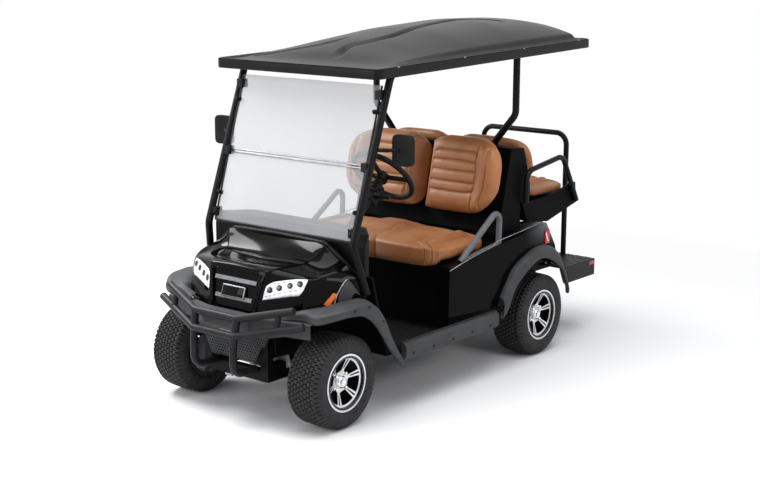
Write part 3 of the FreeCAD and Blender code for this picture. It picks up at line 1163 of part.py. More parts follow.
def arms_and_rails():
    """Hip arms on the side panels, loops beside the rear seat and the hoop over the step."""
    bend, radius = size("arm_bend"), size("arm_radius")
    x = "arm_place"
    slope = "(side_high - side_front_high) / (side_high_place - side_front)"
    front_low = f"side_front_high + (arm_front - side_front) * {slope} + arm_seat"
    back_low = f"side_front_high + (arm_back - side_front) * {slope} + arm_seat"
    arm = [at(x, f"{REAR} + arm_front", front_low), at(x, f"{REAR} + arm_top", "arm_high"),
           at(x, f"{REAR} + arm_back", back_low)]
    doc.recompute()
    base = tube([arm[0], arm[2]], radius, bend)
    upper = largest(tube(arm, radius, bend).fuse(base).cut(nodes["rear_body"].Shape))
    keep("hip_arms", feature("hip_arms", two(upper)))
    x, radius = "tub_half + loop_radius + seat_gap", size("loop_radius")
    loop = [at(x, f"{REAR} + loop_front", "tub_front_high"), at(x, f"{REAR} + loop_front", "loop_corner"),
            at(x, f"{REAR} + loop_top", "loop_high"), at(x, f"{REAR} + loop_back", "loop_low")]
    keep("rear_arms", feature("rear_arms", two(tube(loop, radius, size("loop_bend")))))
    hoop = [at("hoop_half", f"{TAIL} - hoop_set", "step_high - step_drop + seat_gap"),
            at("hoop_half", f"{TAIL} - hoop_set", "hoop_high")]
    hoop += [flip_place(place) for place in reversed(hoop)]
    keep("grab_hoop", feature("grab_hoop", tube(hoop, size("hoop_radius"), size("hoop_bend"))))


def step_and_lamps():
    """Rear step: a raised tread plate ahead of a lower rim that carries the grab hoop."""
    rim = "step_high - step_drop"
    outer = slab("step_outer", "YZ_Plane", [
        (f"{TAIL} - step_depth", "step_low"), (TAIL, "step_low"), (TAIL, rim), (f"{TAIL} - step_rim", rim),
        (f"{TAIL} - step_rim - step_drop", "step_high"), (f"{TAIL} - step_depth", "step_high"),
    ], "-step_half", "2 * step_half")
    inner = beam("step_inner", "step_half - step_wall", f"{TAIL} - step_depth - overrun", "step_low - overrun",
                 "step_depth - step_wall + overrun", f"{rim} - step_low - step_wall + overrun")
    keep("step_plate", cut("step_plate", outer, inner))
    lamp = block("tail_lamp", "side_outer + seat_gap", f"{REAR} + side_high_place - tail_lamp_width / 2", "tail_lamp_low", "tail_lamp_depth",
                 "tail_lamp_width", "tail_lamp_high - tail_lamp_low")
    keep("tail_lamps", pair("tail_lamps", lamp))


wheels()
steering()
frame()
front_suspension()
rear_axle()
floor()
seat_pod()
rear_body()
flares()
front_body()
brush_guard()
dash()
doc.recompute()
steering_wheel()
windscreen()
doc.recompute()
screen_fittings()
struts()
canopy()
mirrors()
front_seat()
seat_backs()
back_covers()
rear_seat()
seat_frame()
arms_and_rails()
step_and_lamps()

doc.recompute()
faults = [f"{item.Name} {item.State}" for item in doc.Objects if {"Invalid", "Error"} & set(item.State)]
faults += [name for name, item in nodes.items() if item.Shape.isNull() or not item.Shape.isValid()]
if faults:
    raise RuntimeError(f"not built: {faults}")
os.makedirs("parts", exist_ok=True)
for name, item in nodes.items():
    item.Shape.exportStep(f"parts/{name}.step")
    box = item.Shape.BoundBox
    print(f"{name}: {len(item.Shape.Solids)} solids, X {box.XMin:.1f} {box.XMax:.1f}, "
          f"Y {box.YMin:.1f} {box.YMax:.1f}, Z {box.ZMin:.1f} {box.ZMax:.1f}")
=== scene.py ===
# %% [markdown]
# # An electric golf cart
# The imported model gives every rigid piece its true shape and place. This notebook dresses
# it: finishes that are worked out from real measures in millimetres, and the pieces that
# are better made here, such as leather cushions, tyre tread, lamp optics and small trim.

# %% The frame and the tools
import bpy
import math
import numpy as np
from mathutils import Matrix, Vector


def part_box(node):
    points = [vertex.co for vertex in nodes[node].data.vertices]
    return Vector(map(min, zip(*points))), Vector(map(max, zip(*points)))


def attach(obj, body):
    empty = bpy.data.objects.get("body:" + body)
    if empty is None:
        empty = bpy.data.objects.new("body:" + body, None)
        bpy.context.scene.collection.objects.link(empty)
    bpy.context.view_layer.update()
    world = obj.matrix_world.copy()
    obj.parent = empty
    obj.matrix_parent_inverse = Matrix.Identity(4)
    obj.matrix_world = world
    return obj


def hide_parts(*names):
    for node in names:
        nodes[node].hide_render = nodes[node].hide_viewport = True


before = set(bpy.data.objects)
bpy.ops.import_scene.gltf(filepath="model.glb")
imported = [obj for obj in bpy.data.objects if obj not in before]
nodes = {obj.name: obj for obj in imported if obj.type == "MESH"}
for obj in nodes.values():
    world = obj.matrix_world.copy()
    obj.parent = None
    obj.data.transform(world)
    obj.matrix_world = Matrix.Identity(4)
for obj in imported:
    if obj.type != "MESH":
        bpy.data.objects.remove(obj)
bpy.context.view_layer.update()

FRONT_AXLE, REAR_AXLE, AXLE_HEIGHT = -1.010, 0.654, 0.230  # metres: y, y and z, as packed
MIRROR = [-1, 1, 1]  # times a place, its image across the middle plane

# %% [markdown]
# ## Camera
# A lens of 67 mm on a 36 mm sensor, held about two metres up and seven metres away, gives
# the picture's slight perspective. The view axis points down by 11.9 degrees, and the
# picture is rolled by a fifth of a degree. Setting the matrix from the three axes avoids
# any doubt about the order of rotations.

# %% Camera
YAW, PITCH, ROLL = (math.radians(turn) for turn in (38.98, 11.87, 0.18))
LENS, SENSOR, CAMERA_AT = 67.03, 36.0, (4.722, -5.910, 2.276)
camera = bpy.data.objects.new("camera", bpy.data.cameras.new("camera"))
bpy.context.scene.collection.objects.link(camera)
camera.data.lens = LENS
camera.data.sensor_width = SENSOR
ahead = Vector((-math.sin(YAW) * math.cos(PITCH), math.cos(YAW) * math.cos(PITCH), -math.sin(PITCH)))
level = Vector((math.cos(YAW), math.sin(YAW), 0))
upright = level.cross(ahead)
right = level * math.cos(ROLL) + upright * math.sin(ROLL)
above = upright * math.cos(ROLL) - level * math.sin(ROLL)
axes = Matrix((right, above, -ahead)).transposed().to_4x4()
camera.matrix_world = Matrix.Translation(CAMERA_AT) @ axes
bpy.context.scene.camera = camera
bpy.context.scene.view_settings.view_transform = "Standard"
print("camera at", [round(v, 3) for v in camera.location])

# %% [markdown]
# ## Colours and nodes
# A colour is written as sRGB hex, as a paint card gives it, and Blender wants linear light,
# so one function converts it. Two more make a node or a whole material in one call, which
# keeps each finish below to a few lines.

# %% Colour and node helpers
def linear(text):
    """sRGB hex to linear light, channel by channel, as the standard's two-part curve."""
    values = [int(text[i:i + 2], 16) / 255 for i in (1, 3, 5)]
    return tuple(v / 12.92 if v <= 0.04045 else ((v + 0.055) / 1.055) ** 2.4 for v in values) + (1.0,)


def add(tree, kind, sockets=None, **settings):
    """One shader node with its settings; sockets maps an input to a value or another output."""
    item = tree.nodes.new("ShaderNode" + kind)
    for key, value in settings.items():
        setattr(item, key, value)
    for key, value in (sockets or {}).items():
        if isinstance(value, bpy.types.NodeSocket):
            tree.links.new(value, item.inputs[key])
        else:
            item.inputs[key].default_value = value
    return item


def material(name, **values):
    """A new material with a Principled shader whose plain sockets are set by name."""
    made = bpy.data.materials.new(name)
    made.use_nodes = True
    shader = made.node_tree.nodes["Principled BSDF"]
    for key, value in values.items():
        shader.inputs[key.replace("_", " ")].default_value = value
    return made, made.node_tree, shader


print("middle grey as light", round(linear("#808080")[0], 4))

# %% [markdown]
# ## Floor and background
# The cart stands on a white studio sweep. The floor is a plain pale surface that keeps the
# shadow and turns to pure white some way out. Rays from the camera that miss it see white,
# while the light that falls on the cart from there is dimmer.

# %% World and floor
world = bpy.data.worlds.new("studio")
bpy.context.scene.world = world
world.use_nodes = True
sky = world.node_tree
sky.nodes.clear()
path = add(sky, "LightPath")
direct = add(sky, "Math", {0: path.outputs["Is Camera Ray"], 1: path.outputs["Is Transmission Ray"]},
             operation="MAXIMUM")
seen = add(sky, "Math", {0: direct.outputs[0], 1: path.outputs["Is Glossy Ray"]}, operation="MAXIMUM")
dim = add(sky, "Background", {"Color": (0.80, 0.82, 0.85, 1), "Strength": 0.42})
white = add(sky, "Background", {"Color": (1, 1, 1, 1), "Strength": 1.0})
mixed = add(sky, "MixShader", {0: seen.outputs[0], 1: dim.outputs[0], 2: white.outputs[0]})
add(sky, "OutputWorld", {"Surface": mixed.outputs[0]})

FLOOR_HALF, GREY_TO, WHITE_FROM = 30.0, 1.6, 4.2  # metres from the middle of the floor
sheet = bpy.data.meshes.new("studio_floor")
corners = [(FLOOR_HALF * x, FLOOR_HALF * y, 0) for x, y in ((-1, -1), (1, -1), (1, 1), (-1, 1))]
sheet.from_pydata(corners, [], [(0, 1, 2, 3)])
floor = bpy.data.objects.new("studio_floor", sheet)
bpy.context.scene.collection.objects.link(floor)
floor_paint, tree, shader = material("studio_floor_white", Base_Color=(0.86, 0.86, 0.87, 1), Roughness=0.85,
                                     Specular_IOR_Level=0.1)
path = add(tree, "LightPath")
place = add(tree, "TexCoord")
apart = add(tree, "VectorMath", {0: place.outputs["Object"]}, operation="LENGTH")
fade = add(tree, "MapRange", {"Value": apart.outputs[1], "From Min": GREY_TO, "From Max": WHITE_FROM})
glow = add(tree, "Emission", {"Color": (1, 1, 1, 1), "Strength": 1.0})
seen = add(tree, "Math", {0: path.outputs["Is Camera Ray"], 1: path.outputs["Is Glossy Ray"]},
           operation="MAXIMUM")
far = add(tree, "Math", {0: fade.outputs[0], 1: seen.outputs[0]}, operation="MULTIPLY")
blend = add(tree, "MixShader", {0: far.outputs[0], 1: shader.outputs[0], 2: glow.outputs[0]})
tree.links.new(blend.outputs[0], tree.nodes["Material Output"].inputs["Surface"])
floor.data.materials.append(floor_paint)

# %% [markdown]
# ## Light
# Gloss black paint shows nothing but what it reflects, so large soft boxes stand overhead, in
# front and at both sides, as in a car studio. Their edges draw the hood's shape.

# %% Soft boxes
def soft_box(name, place, target, size, power):
    """Square area lamp at a place, turned to face a target."""
    lamp = bpy.data.lights.new(name, "AREA")
    lamp.shape = "RECTANGLE"
    lamp.size, lamp.size_y = size
    lamp.energy = power
    box = bpy.data.objects.new(name, lamp)
    box.location = place
    box.rotation_euler = (Vector(target) - Vector(place)).to_track_quat("-Z", "Y").to_euler()
    bpy.context.scene.collection.objects.link(box)
    return box


soft_box("top_box", (0.4, -0.6, 5.2), (0, 0, 0.6), (5.0, 5.0), 330)
soft_box("front_box", (-1.6, -5.6, 2.6), (0, -0.8, 0.7), (3.4, 2.4), 120)
soft_box("side_box", (6.0, -0.4, 3.4), (0, 0.2, 0.8), (3.0, 1.4), 90)
soft_box("hood_box", (-3.2, -1.4, 3.3), (0, -1.0, 0.8), (2.4, 1.2), 170)

# %% [markdown]
# ## Finishes
# Each finish below starts from what the real surface is and how it was made. Patterns read
# Object coordinates, which are metres here, so a scale of 1000 divided by a size in
# millimetres gives that many repeats.

# %% Pattern helpers
def per_mm(size):
    """Texture scale at which one repeat is this many millimetres."""
    return 1000.0 / size


def grain(tree, shader, size, depth, detail=3.0, roughness=None):
    """Noise of one grain size as a bump, in metres deep, and if asked in the roughness."""
    place = add(tree, "TexCoord").outputs["Object"]
    noise = add(tree, "TexNoise", {"Vector": place, "Scale": per_mm(size), "Detail": detail})
    bump = add(tree, "Bump", {"Height": noise.outputs[0], "Distance": depth, "Strength": 1.0})
    tree.links.new(bump.outputs[0], shader.inputs["Normal"])
    if roughness:
        spread = add(tree, "MapRange", {"Value": noise.outputs[0], "From Min": 0.3, "From Max": 0.7,
                                        "To Min": roughness[0], "To Max": roughness[1]})
        tree.links.new(spread.outputs[0], shader.inputs["Roughness"])


def between(tree, shader, factor, first, second):
    """Base colour mixed from two hex colours by an output that goes from 0 to 1."""
    colour = add(tree, "Mix", {"Factor": factor, 6: linear(first), 7: linear(second)}, data_type="RGBA")
    tree.links.new(colour.outputs[2], shader.inputs["Base Color"])
    return colour


def tinted(tree, shader, dark, light, size):
    """Base colour that wanders between two hex colours over patches of a size in mm."""
    place = add(tree, "TexCoord").outputs["Object"]
    noise = add(tree, "TexNoise", {"Vector": place, "Scale": per_mm(size), "Detail": 2.0})
    ramp = add(tree, "MapRange", {"Value": noise.outputs[0], "From Min": 0.35, "From Max": 0.65})
    return between(tree, shader, ramp.outputs[0], dark, light)


def finish(name, dark, light, patch, size, depth, detail=3.0, roughness=None, **values):
    """A material tinted over patches in mm, with a grain of a size in mm and a depth in metres."""
    made, tree, shader = material(name, **values)
    tinted(tree, shader, dark, light, patch)
    grain(tree, shader, size, depth, detail, roughness)
    return made


print("a pattern of 2 mm has scale", per_mm(2.0))
# %% [markdown]
# ## Paint, powder coat and plastics
# Nearly all of the cart is black, in several sheens: gloss paint, satin sheet, powder coat,
# grained mouldings and matt shells. Real plastics and paints differ little in colour, so
# roughness, specular level and the depth of the grain tell them apart.

# %% Gloss paint, powder coat and moulded plastics
# Polyurethane gloss paint on a thermoformed panel: mirror-like, with faint orange peel.
gloss_paint = finish("polyurethane_gloss_black", "#050506", "#08080A", 160, 9.0, 0.00002, 1.0,
                     Roughness=0.08, IOR=1.5, Specular_IOR_Level=0.07, Coat_Weight=0.06, Coat_Roughness=0.04)

# Satin canopy skin: thermoformed ABS with a low sheen and a fine leather-like texture.
canopy_skin = finish("thermoformed_abs_satin_black", "#0E0E0F", "#131314", 240, 2.5, 0.00008, 2.0,
                     (0.30, 0.40), Roughness=0.36, IOR=1.53, Specular_IOR_Level=0.14)

# Powder-coated steel tube: baked polyester with a slight pebble, satin.
powder_coat = finish("powder_coated_steel_black", "#161617", "#1E1E20", 60, 1.6, 0.00010, 2.0, (0.36, 0.50),
                     Roughness=0.42, IOR=1.5, Specular_IOR_Level=0.16)

# The struts, hoop and rear arms: the same coating in deeper black with less sheen.
strut_coat = finish("powder_coated_tube_deep_black", "#0A0A0B", "#101011", 60, 1.6, 0.00008, 2.0,
                    (0.32, 0.46), Roughness=0.38, IOR=1.5, Specular_IOR_Level=0.12)

# Injection-moulded polypropylene, dark grey, spark-eroded grain: the flares and sills.
grey_plastic = finish("moulded_polypropylene_grey", "#333436", "#3C3D40", 90, 1.8, 0.00016, 3.0,
                      (0.48, 0.62), Roughness=0.55, IOR=1.49, Specular_IOR_Level=0.25)

# The same process in black, for the dash, pedals, column, steering wheel and mirrors.
black_plastic = finish("moulded_polypropylene_black", "#0E0E0F", "#151516", 90, 1.8, 0.00012, 3.0,
                       (0.42, 0.58), Roughness=0.5, IOR=1.49, Specular_IOR_Level=0.12)

# Rotomoulded shells, such as the one behind the seats and the tub: matt black plastic, painted darker than
# the other black plastics as shade, since most lie in hollows, under the seats and behind the nose.
shell_plastic_painted_shade = finish("rotomoulded_shell_black", "#030303", "#060606", 120, 2.2, 0.00015, 3.0, (0.52, 0.66),
                       Roughness=0.6, IOR=1.5, Specular_IOR_Level=0.05)

# Painted mild steel of the chassis: thin satin black over rolled section, a little dusty.
chassis_paint = finish("chassis_enamel_black", "#070707", "#0E0D0D", 70, 3.0, 0.00008, 3.0, (0.40, 0.62),
                       Roughness=0.5, IOR=1.5, Specular_IOR_Level=0.08)

# Silver-grey glass-filled nylon of the grab arms.
arm_plastic = finish("glass_filled_nylon_grey", "#4A4C50", "#585A5E", 50, 1.5, 0.00010, 2.0, (0.40, 0.52),
                     Roughness=0.45, IOR=1.52)
print("paints and plastics", len(bpy.data.materials))

# %% [markdown]
# ## Side paint and its painted highlight
# The rear side panels carry the hood's paint. Toward the tail lamp a silver-grey painted highlight is
# mixed into its colour, standing in for the reflection on the panel's curved rear. It is two smooth steps in
# place, one along the cart and one upward, multiplied, and then broken by a noise of about a millimetre.

# %% Side paint with a painted highlight
HIGHLIGHT_ALONG, HIGHLIGHT_UP = (0.46, 0.86), (0.60, 0.76)  # metres: y and z where the painted highlight starts and is full
side_paint_with_painted_highlight, tree, shader = material("polyurethane_black_painted_highlight", Roughness=0.12, IOR=1.5,
                                    Specular_IOR_Level=0.03)
spot = add(tree, "TexCoord").outputs["Object"]
place = add(tree, "SeparateXYZ", {0: spot})
steps = [add(tree, "MapRange", {"Value": place.outputs[axis], "From Min": start, "From Max": full},
             interpolation_type="SMOOTHSTEP") for axis, (start, full) in ((1, HIGHLIGHT_ALONG), (2, HIGHLIGHT_UP))]
share = add(tree, "Math", {0: steps[0].outputs[0], 1: steps[1].outputs[0]}, operation="MULTIPLY")
speck = add(tree, "TexNoise", {"Vector": spot, "Scale": per_mm(1.2)})
highlight_break = add(tree, "MapRange", {"Value": speck.outputs[0], "To Min": 0.75, "To Max": 1.0})
fade = add(tree, "Math", {0: share.outputs[0], 1: highlight_break.outputs[0]}, operation="MULTIPLY")
# Painted highlight: the black goes to silver-grey where the panel's rear curve would reflect the studio
# lights.
between(tree, shader, fade.outputs[0], "#070708", "#8E9092")
grain(tree, shader, 9.0, 0.00002, 1.0)
print("silver fade along", HIGHLIGHT_ALONG, "up", HIGHLIGHT_UP)

# %% [markdown]
# ## Leather and rubber
# Upholstery vinyl is embossed between rollers, so its grain is cells with creases between
# them: the distance to a Voronoi cell's edge. Tyre rubber is matt and dusty, and the
# bottoms of its grooves are painted near black as shade, by the depth that an attribute on the mesh marks.

# %% Leather and rubber
# Vinyl-coated tan upholstery, embossed with a leather grain of about 2 mm, sewn tight.
leather, tree, shader = material("tan_upholstery_embossed", Roughness=0.45, IOR=1.46, Sheen_Weight=0.08)
tinted(tree, shader, "#965C31", "#A56A3B", 120)
place = add(tree, "TexCoord").outputs["Object"]
cells = add(tree, "TexVoronoi", {"Vector": place, "Scale": per_mm(2.2)}, feature="DISTANCE_TO_EDGE")
folds = add(tree, "TexNoise", {"Vector": place, "Scale": per_mm(45), "Detail": 2.0})
soft = add(tree, "Bump", {"Height": folds.outputs[0], "Distance": 0.0010, "Strength": 0.12})
fine = add(tree, "Bump", {"Height": cells.outputs[0], "Distance": 0.00018, "Strength": 0.7,
                          "Normal": soft.outputs[0]})
tree.links.new(fine.outputs[0], shader.inputs["Normal"])

# Tyre rubber: cured compound, matte, greyer where the sidewall has been handled.
rubber, tree, shader = material("cured_tyre_rubber", Roughness=0.72, IOR=1.52, Specular_IOR_Level=0.2)
worn = tinted(tree, shader, "#242425", "#303031", 35)
# Painted shade: the rubber darkens to near black with the groove depth, where shade falls in the grooves.
groove = add(tree, "Attribute", attribute_name="groove")
groove_painted_shade = add(tree, "MapRange", {"Value": groove.outputs["Fac"], "From Min": 0.0005, "From Max": 0.0040})
shade = add(tree, "Mix", {"Factor": groove_painted_shade.outputs[0], 6: worn.outputs[2], 7: linear("#050505")},
            data_type="RGBA")
tree.links.new(shade.outputs[2], shader.inputs["Base Color"])
grain(tree, shader, 1.2, 0.00010, 2.0, (0.62, 0.80))
print("leather and rubber", leather.name, rubber.name)

# %% [markdown]
# ## Wheel metal
# The wheel is cast aluminium, painted black all over, and then its outer faces are turned
# bright on a lathe. So bright metal shows where a face looks outward and lies far enough
# out, save in a painted groove round the rim. Both are masks of place and normal.

# %% Wheel metal
WHEEL_FACE = 0.500  # metres from the middle plane to where the lathe began to cut
GROOVE_AT, GROOVE_HALF = 0.1265, 0.0055  # metres: the painted groove's radius and half width
wheel_alloy, tree, shader = material("cast_wheel_machined_face", Roughness=0.3)
where = add(tree, "TexCoord")
normal = add(tree, "SeparateXYZ", {0: where.outputs["Normal"]})
point = add(tree, "SeparateXYZ", {0: where.outputs["Object"]})
facing = add(tree, "Math", {0: normal.outputs[0]}, operation="ABSOLUTE")
out = add(tree, "Math", {0: point.outputs[0]}, operation="ABSOLUTE")
turned = add(tree, "MapRange", {"Value": facing.outputs[0], "From Min": 0.80, "From Max": 0.90})
outer = add(tree, "MapRange", {"Value": out.outputs[0], "From Min": WHEEL_FACE,
                                   "From Max": WHEEL_FACE + 0.002})
height = add(tree, "Math", {0: point.outputs[2], 1: AXLE_HEIGHT}, operation="SUBTRACT")
radii = []
for axle in (FRONT_AXLE, REAR_AXLE):
    apart = add(tree, "Math", {0: point.outputs[1], 1: axle}, operation="SUBTRACT")
    reach = add(tree, "CombineXYZ", {1: apart.outputs[0], 2: height.outputs[0]})
    radii.append(add(tree, "VectorMath", {0: reach.outputs[0]}, operation="LENGTH").outputs["Value"])
radius = add(tree, "Math", {0: radii[0], 1: radii[1]}, operation="MINIMUM")
apart = add(tree, "Math", {0: radius.outputs[0], 1: GROOVE_AT}, operation="SUBTRACT")
band = add(tree, "Math", {0: apart.outputs[0]}, operation="ABSOLUTE")
bright = add(tree, "Math", {0: band.outputs[0], 1: GROOVE_HALF}, operation="GREATER_THAN")
lit = add(tree, "Math", {0: turned.outputs[0], 1: outer.outputs[0]}, operation="MULTIPLY")
face = add(tree, "Math", {0: lit.outputs[0], 1: bright.outputs[0]}, operation="MULTIPLY")
between(tree, shader, face.outputs[0], "#0B0B0C", "#D9DADC")
tree.links.new(face.outputs[0], shader.inputs["Metallic"])
marks = add(tree, "TexNoise", {"Vector": where.outputs["Object"], "Scale": per_mm(3.0)})
gloss = add(tree, "MapRange", {"Value": marks.outputs[0], "To Min": 0.22, "To Max": 0.36})
tree.links.new(gloss.outputs[0], shader.inputs["Roughness"])
print("bright beyond", WHEEL_FACE, "m, groove at", GROOVE_AT)

# %% [markdown]
# ## Metals, screen and lenses
# Steel below is zinc plated, primed or cast; chrome is on the wheel caps. The screen is
# acrylic, half clear so that the seats show through it. Lenses are moulded polycarbonate,
# opaque here, because what gives them their look is the colour and the ribbed surface.

# %% Metals, screen and lenses
# Zinc-plated steel of the suspension and steering: dull silver with darker patches.
zinc = finish("zinc_plated_steel", "#77797C", "#94969A", 25, 4.0, 0.00004, 2.0, (0.32, 0.5),
              Roughness=0.4, Metallic=1.0)

# Zinc-rich primer on the plates of the front suspension: dull light grey.
primer = finish("zinc_primer_plate", "#7C7E81", "#939598", 14, 6.0, 0.00004, 2.0, (0.5, 0.66),
                Roughness=0.6, IOR=1.5, Specular_IOR_Level=0.2)

# Cast iron housings under the floor: sand-cast and painted black.
casting = finish("sand_cast_housing", "#171717", "#232323", 40, 2.5, 0.00030, 3.0, (0.5, 0.7),
                 Roughness=0.6, IOR=1.5)

# Chrome plate on the wheel's cap and nuts, and the silvered mirror glass.
chrome = finish("chrome_plate", "#E2E3E6", "#ECEDEF", 30, 12.0, 0.00001, 1.0, (0.05, 0.12), Metallic=1.0)

# Cast acrylic screen, smoke tint: a light grey layer at about a third opacity, partly the tint and partly
# painted reflection of the white surroundings, which makes what shows through milky.
acrylic, tree, shader = material("cast_acrylic_smoke_and_painted_reflection", Roughness=0.04, IOR=1.49, Alpha=0.36)
tinted(tree, shader, "#B4B6B9", "#BBBDC0", 400)
acrylic.use_transparent_shadow = True

# Moulded polycarbonate with fine ribs: amber marker, red tail lamp, pale lamp cover.
amber = finish("polycarbonate_amber", "#E8650A", "#F0700C", 20, 3.0, 0.0002, 0.0, Roughness=0.12, IOR=1.58)
red = finish("polycarbonate_red", "#A3120C", "#BE1B12", 20, 3.0, 0.0002, 0.0, Roughness=0.14, IOR=1.58)
lamp_white = finish("polycarbonate_clear_lamp", "#DADCE0", "#F4F5F7", 18, 6.0, 0.0003, 0.0,
                    Roughness=0.1, IOR=1.58)

# Projector lenses: clear glass that looks dark, because it looks into the housing.
dark_lens, tree, shader = material("projector_lens_dark", Roughness=0.06, IOR=1.6)
tinted(tree, shader, "#0A0B0E", "#16181D", 8)

# Satin grey enamel of the two bars at the nose.
bar_grey = finish("satin_bar_grey", "#6E7073", "#7C7E82", 40, 1.5, 0.00005, 1.0, (0.28, 0.4),
                  Roughness=0.35, IOR=1.5)
print("all finishes", len(bpy.data.materials))

# %% [markdown]
# ## Which finish each rigid piece takes
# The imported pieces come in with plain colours. A table from finish to node names puts the
# same coating on all that was made in the same way, and what it forgets is printed.

# %% Finishes on the rigid pieces
FINISH = {
    gloss_paint: ("front_cowl", "front_fascia"),
    side_paint_with_painted_highlight: ("rear_body",),
    canopy_skin: ("canopy",),
    powder_coat: ("brush_guard", "step_plate", "screen_clips"),
    strut_coat: ("front_struts", "rear_struts", "grab_hoop", "cowl_bow", "rear_arms"),
    primer: ("front_suspension",),
    grey_plastic: ("sills", "front_flares", "rear_flares", "front_valance"),
    black_plastic: ("dash", "pedals", "steering_wheel", "steering_column", "mirrors", "lower_grille"),
    shell_plastic_painted_shade: ("seat_back_cover", "rear_seat_tub", "inner_panels", "floor", "seat_pod",
                    "front_seat_board"),
    arm_plastic: ("hip_arms",),
    bar_grey: ("grille_bars",),
    chassis_paint: ("frame", "seat_frame", "battery_pack"),
    casting: ("rear_axle", "drive_motor"),
    zinc: ("knuckle_left", "knuckle_right", "tie_rods", "tow_eye", "rear_springs"),
    acrylic: ("windscreen_lower", "windscreen_upper"),
    amber: ("side_markers",),
    red: ("tail_lamps",),
    lamp_white: ("head_lamps",),
    leather: ("front_seat_cushion", "front_seat_back", "rear_seat_back", "rear_seat_cushion"),
    rubber: tuple(name for name in nodes if name.startswith("tyre")),
    wheel_alloy: tuple(name for name in nodes if name.startswith("rim")),
}
plain = set(nodes)
for finish, names in FINISH.items():
    for name in names:
        slots = nodes[name].data.materials
        slots.clear()
        slots.append(finish)
        plain.discard(name)
print("nodes without a finish:", sorted(plain))

# %% [markdown]
# ## How the new pieces are made
# Every new piece is a surface worked out with numpy. A closed soft form starts as a cube's
# six grids welded to one skin, which is then rounded by a formula: no poles, even quads.
# An open panel is a grid of control points that a smooth curve through them, across and along, makes fine.

# %% Mesh helpers
def piece(name, points, faces, finish, body="chassis", smooth=True):
    """An object at the origin from points (n, 3) and faces, one array or several, on its body."""
    mesh = bpy.data.meshes.new(name)
    groups = faces if isinstance(faces, list) else [faces]
    mesh.from_pydata(points.tolist(), [], [face for group in groups for face in group.tolist()])
    mesh.polygons.foreach_set("use_smooth", [smooth] * len(mesh.polygons))
    mesh.materials.append(finish)
    made = bpy.data.objects.new(name, mesh)
    bpy.context.scene.collection.objects.link(made)
    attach(made, body)
    return made


def grid_faces(rows, columns, closed=False, looped=False):
    """Quads between neighbours of a rows by columns grid; the last column or row is joined if asked."""
    i, j = np.meshgrid(np.arange(rows - (not looped)), np.arange(columns - (not closed)), indexing="ij")
    h, k = (i + 1) % rows, (j + 1) % columns
    return np.stack([i * columns + j, i * columns + k, h * columns + k, h * columns + j], -1).reshape(-1, 4)


def twin(skin):
    """Points and quads of a left-hand skin, which is a grid of points, and of its mirror image."""
    faces, points = grid_faces(*skin.shape[:2]), skin.reshape(-1, 3)
    return np.concatenate([points, points * MIRROR]), np.concatenate([faces[:, ::-1], faces + len(points)])


def thicken(made, wall):
    """Give a skin its wall, in metres, on the inside."""
    solid = made.modifiers.new("wall", "SOLIDIFY")
    solid.thickness = wall
    solid.offset = -1


print("a grid of 3 by 4 has", len(grid_faces(3, 4)), "quads")

# %% [markdown]
# ## Soft forms
# A cushion is foam in a sewn cover. Sculpting one by hand would be quick, but it could not be
# repeated, so it is a cube's skin rounded by superellipses. Each seam and each puff is a
# formula of a distance, added as a displacement in one direction.

# %% Soft forms
def block_skin(counts):
    """The skin of a cube from -1 to 1: six grids, turned outward and welded where they meet."""
    points, faces, start = [], [], 0
    for axis in range(3):
        b, c = (axis + 1) % 3, (axis + 2) % 3
        for side in (-1, 1):
            spans = [np.linspace(-1, 1, counts[k] + 1) for k in (b, c)]
            u, v = np.meshgrid(*spans, indexing="ij")
            grid = np.zeros((u.size, 3))
            grid[:, axis], grid[:, b], grid[:, c] = side, u.ravel(), v.ravel()
            quads = grid_faces(*u.shape)[:, ::-1]
            points.append(grid)
            faces.append((quads if side > 0 else quads[:, ::-1]) + start)
            start += len(grid)
    points, faces = np.concatenate(points), np.concatenate(faces)
    welded, back = np.unique(np.round(points, 6), axis=0, return_inverse=True)
    return welded, back.reshape(-1)[faces]


def soften(points, outline, edge, axis):
    """Cube to cushion: a superellipse round the axis, then one over the rim, of the powers given."""
    others = [i for i in range(3) if i != axis]
    flat = points[:, others]
    reach = np.abs(flat).max(1)
    norm = (np.abs(flat) ** outline).sum(1) ** (1 / outline)
    flat = flat * (reach / np.maximum(norm, 1e-9))[:, None]
    deep = points[:, axis]
    most = np.maximum(reach, np.abs(deep))
    rim = (reach ** edge + np.abs(deep) ** edge) ** (1 / edge)
    shrink = (most / np.maximum(rim, 1e-9))[:, None]
    made = np.zeros_like(points)
    made[:, others], made[:, [axis]] = flat * shrink, deep[:, None] * shrink
    return made


def ease(value, low, high):
    """0 below low, 1 above high, and the smooth cubic 3t^2 - 2t^3 between."""
    t = np.clip((value - low) / (high - low), 0, 1)
    return t * t * (3 - 2 * t)


def seam(distance, width, depth):
    """Depth of a sewn line: a narrow bell of the distance from it, with no effect beyond its width."""
    return depth * np.exp(-(distance / width) ** 2)


def puffs(place, edges, rise):
    """Foam between neighbouring seams stands up as 1 - |2t - 1|^3, with t from one seam to the next."""
    total = np.zeros_like(place)
    for low, high in zip(edges[:-1], edges[1:]):
        t = np.clip((place - low) / (high - low), 0, 1)
        total += np.where((place >= low) & (place <= high), rise * (1 - np.abs(2 * t - 1) ** 3), 0)
    return total


print("the skin of a cube in 2 by 2 by 2 cells has", len(block_skin((2, 2, 2))[1]), "quads")

# %% [markdown]
# ## Small solids
# Screws, caps, rods and blocks are turned, drawn or cast on the real cart. Here each is a
# short function that gives points and quads, so that dozens of them join into one piece.

# %% Small solids
def outward(points, quads):
    """Quads of a closed form, turned round if its signed volume comes out negative."""
    a, b, c, d = (points[quads[:, k]] for k in range(4))
    volume = (a * np.cross(b, c)).sum() + (a * np.cross(c, d)).sum()
    return quads if volume > 0 else quads[:, ::-1]


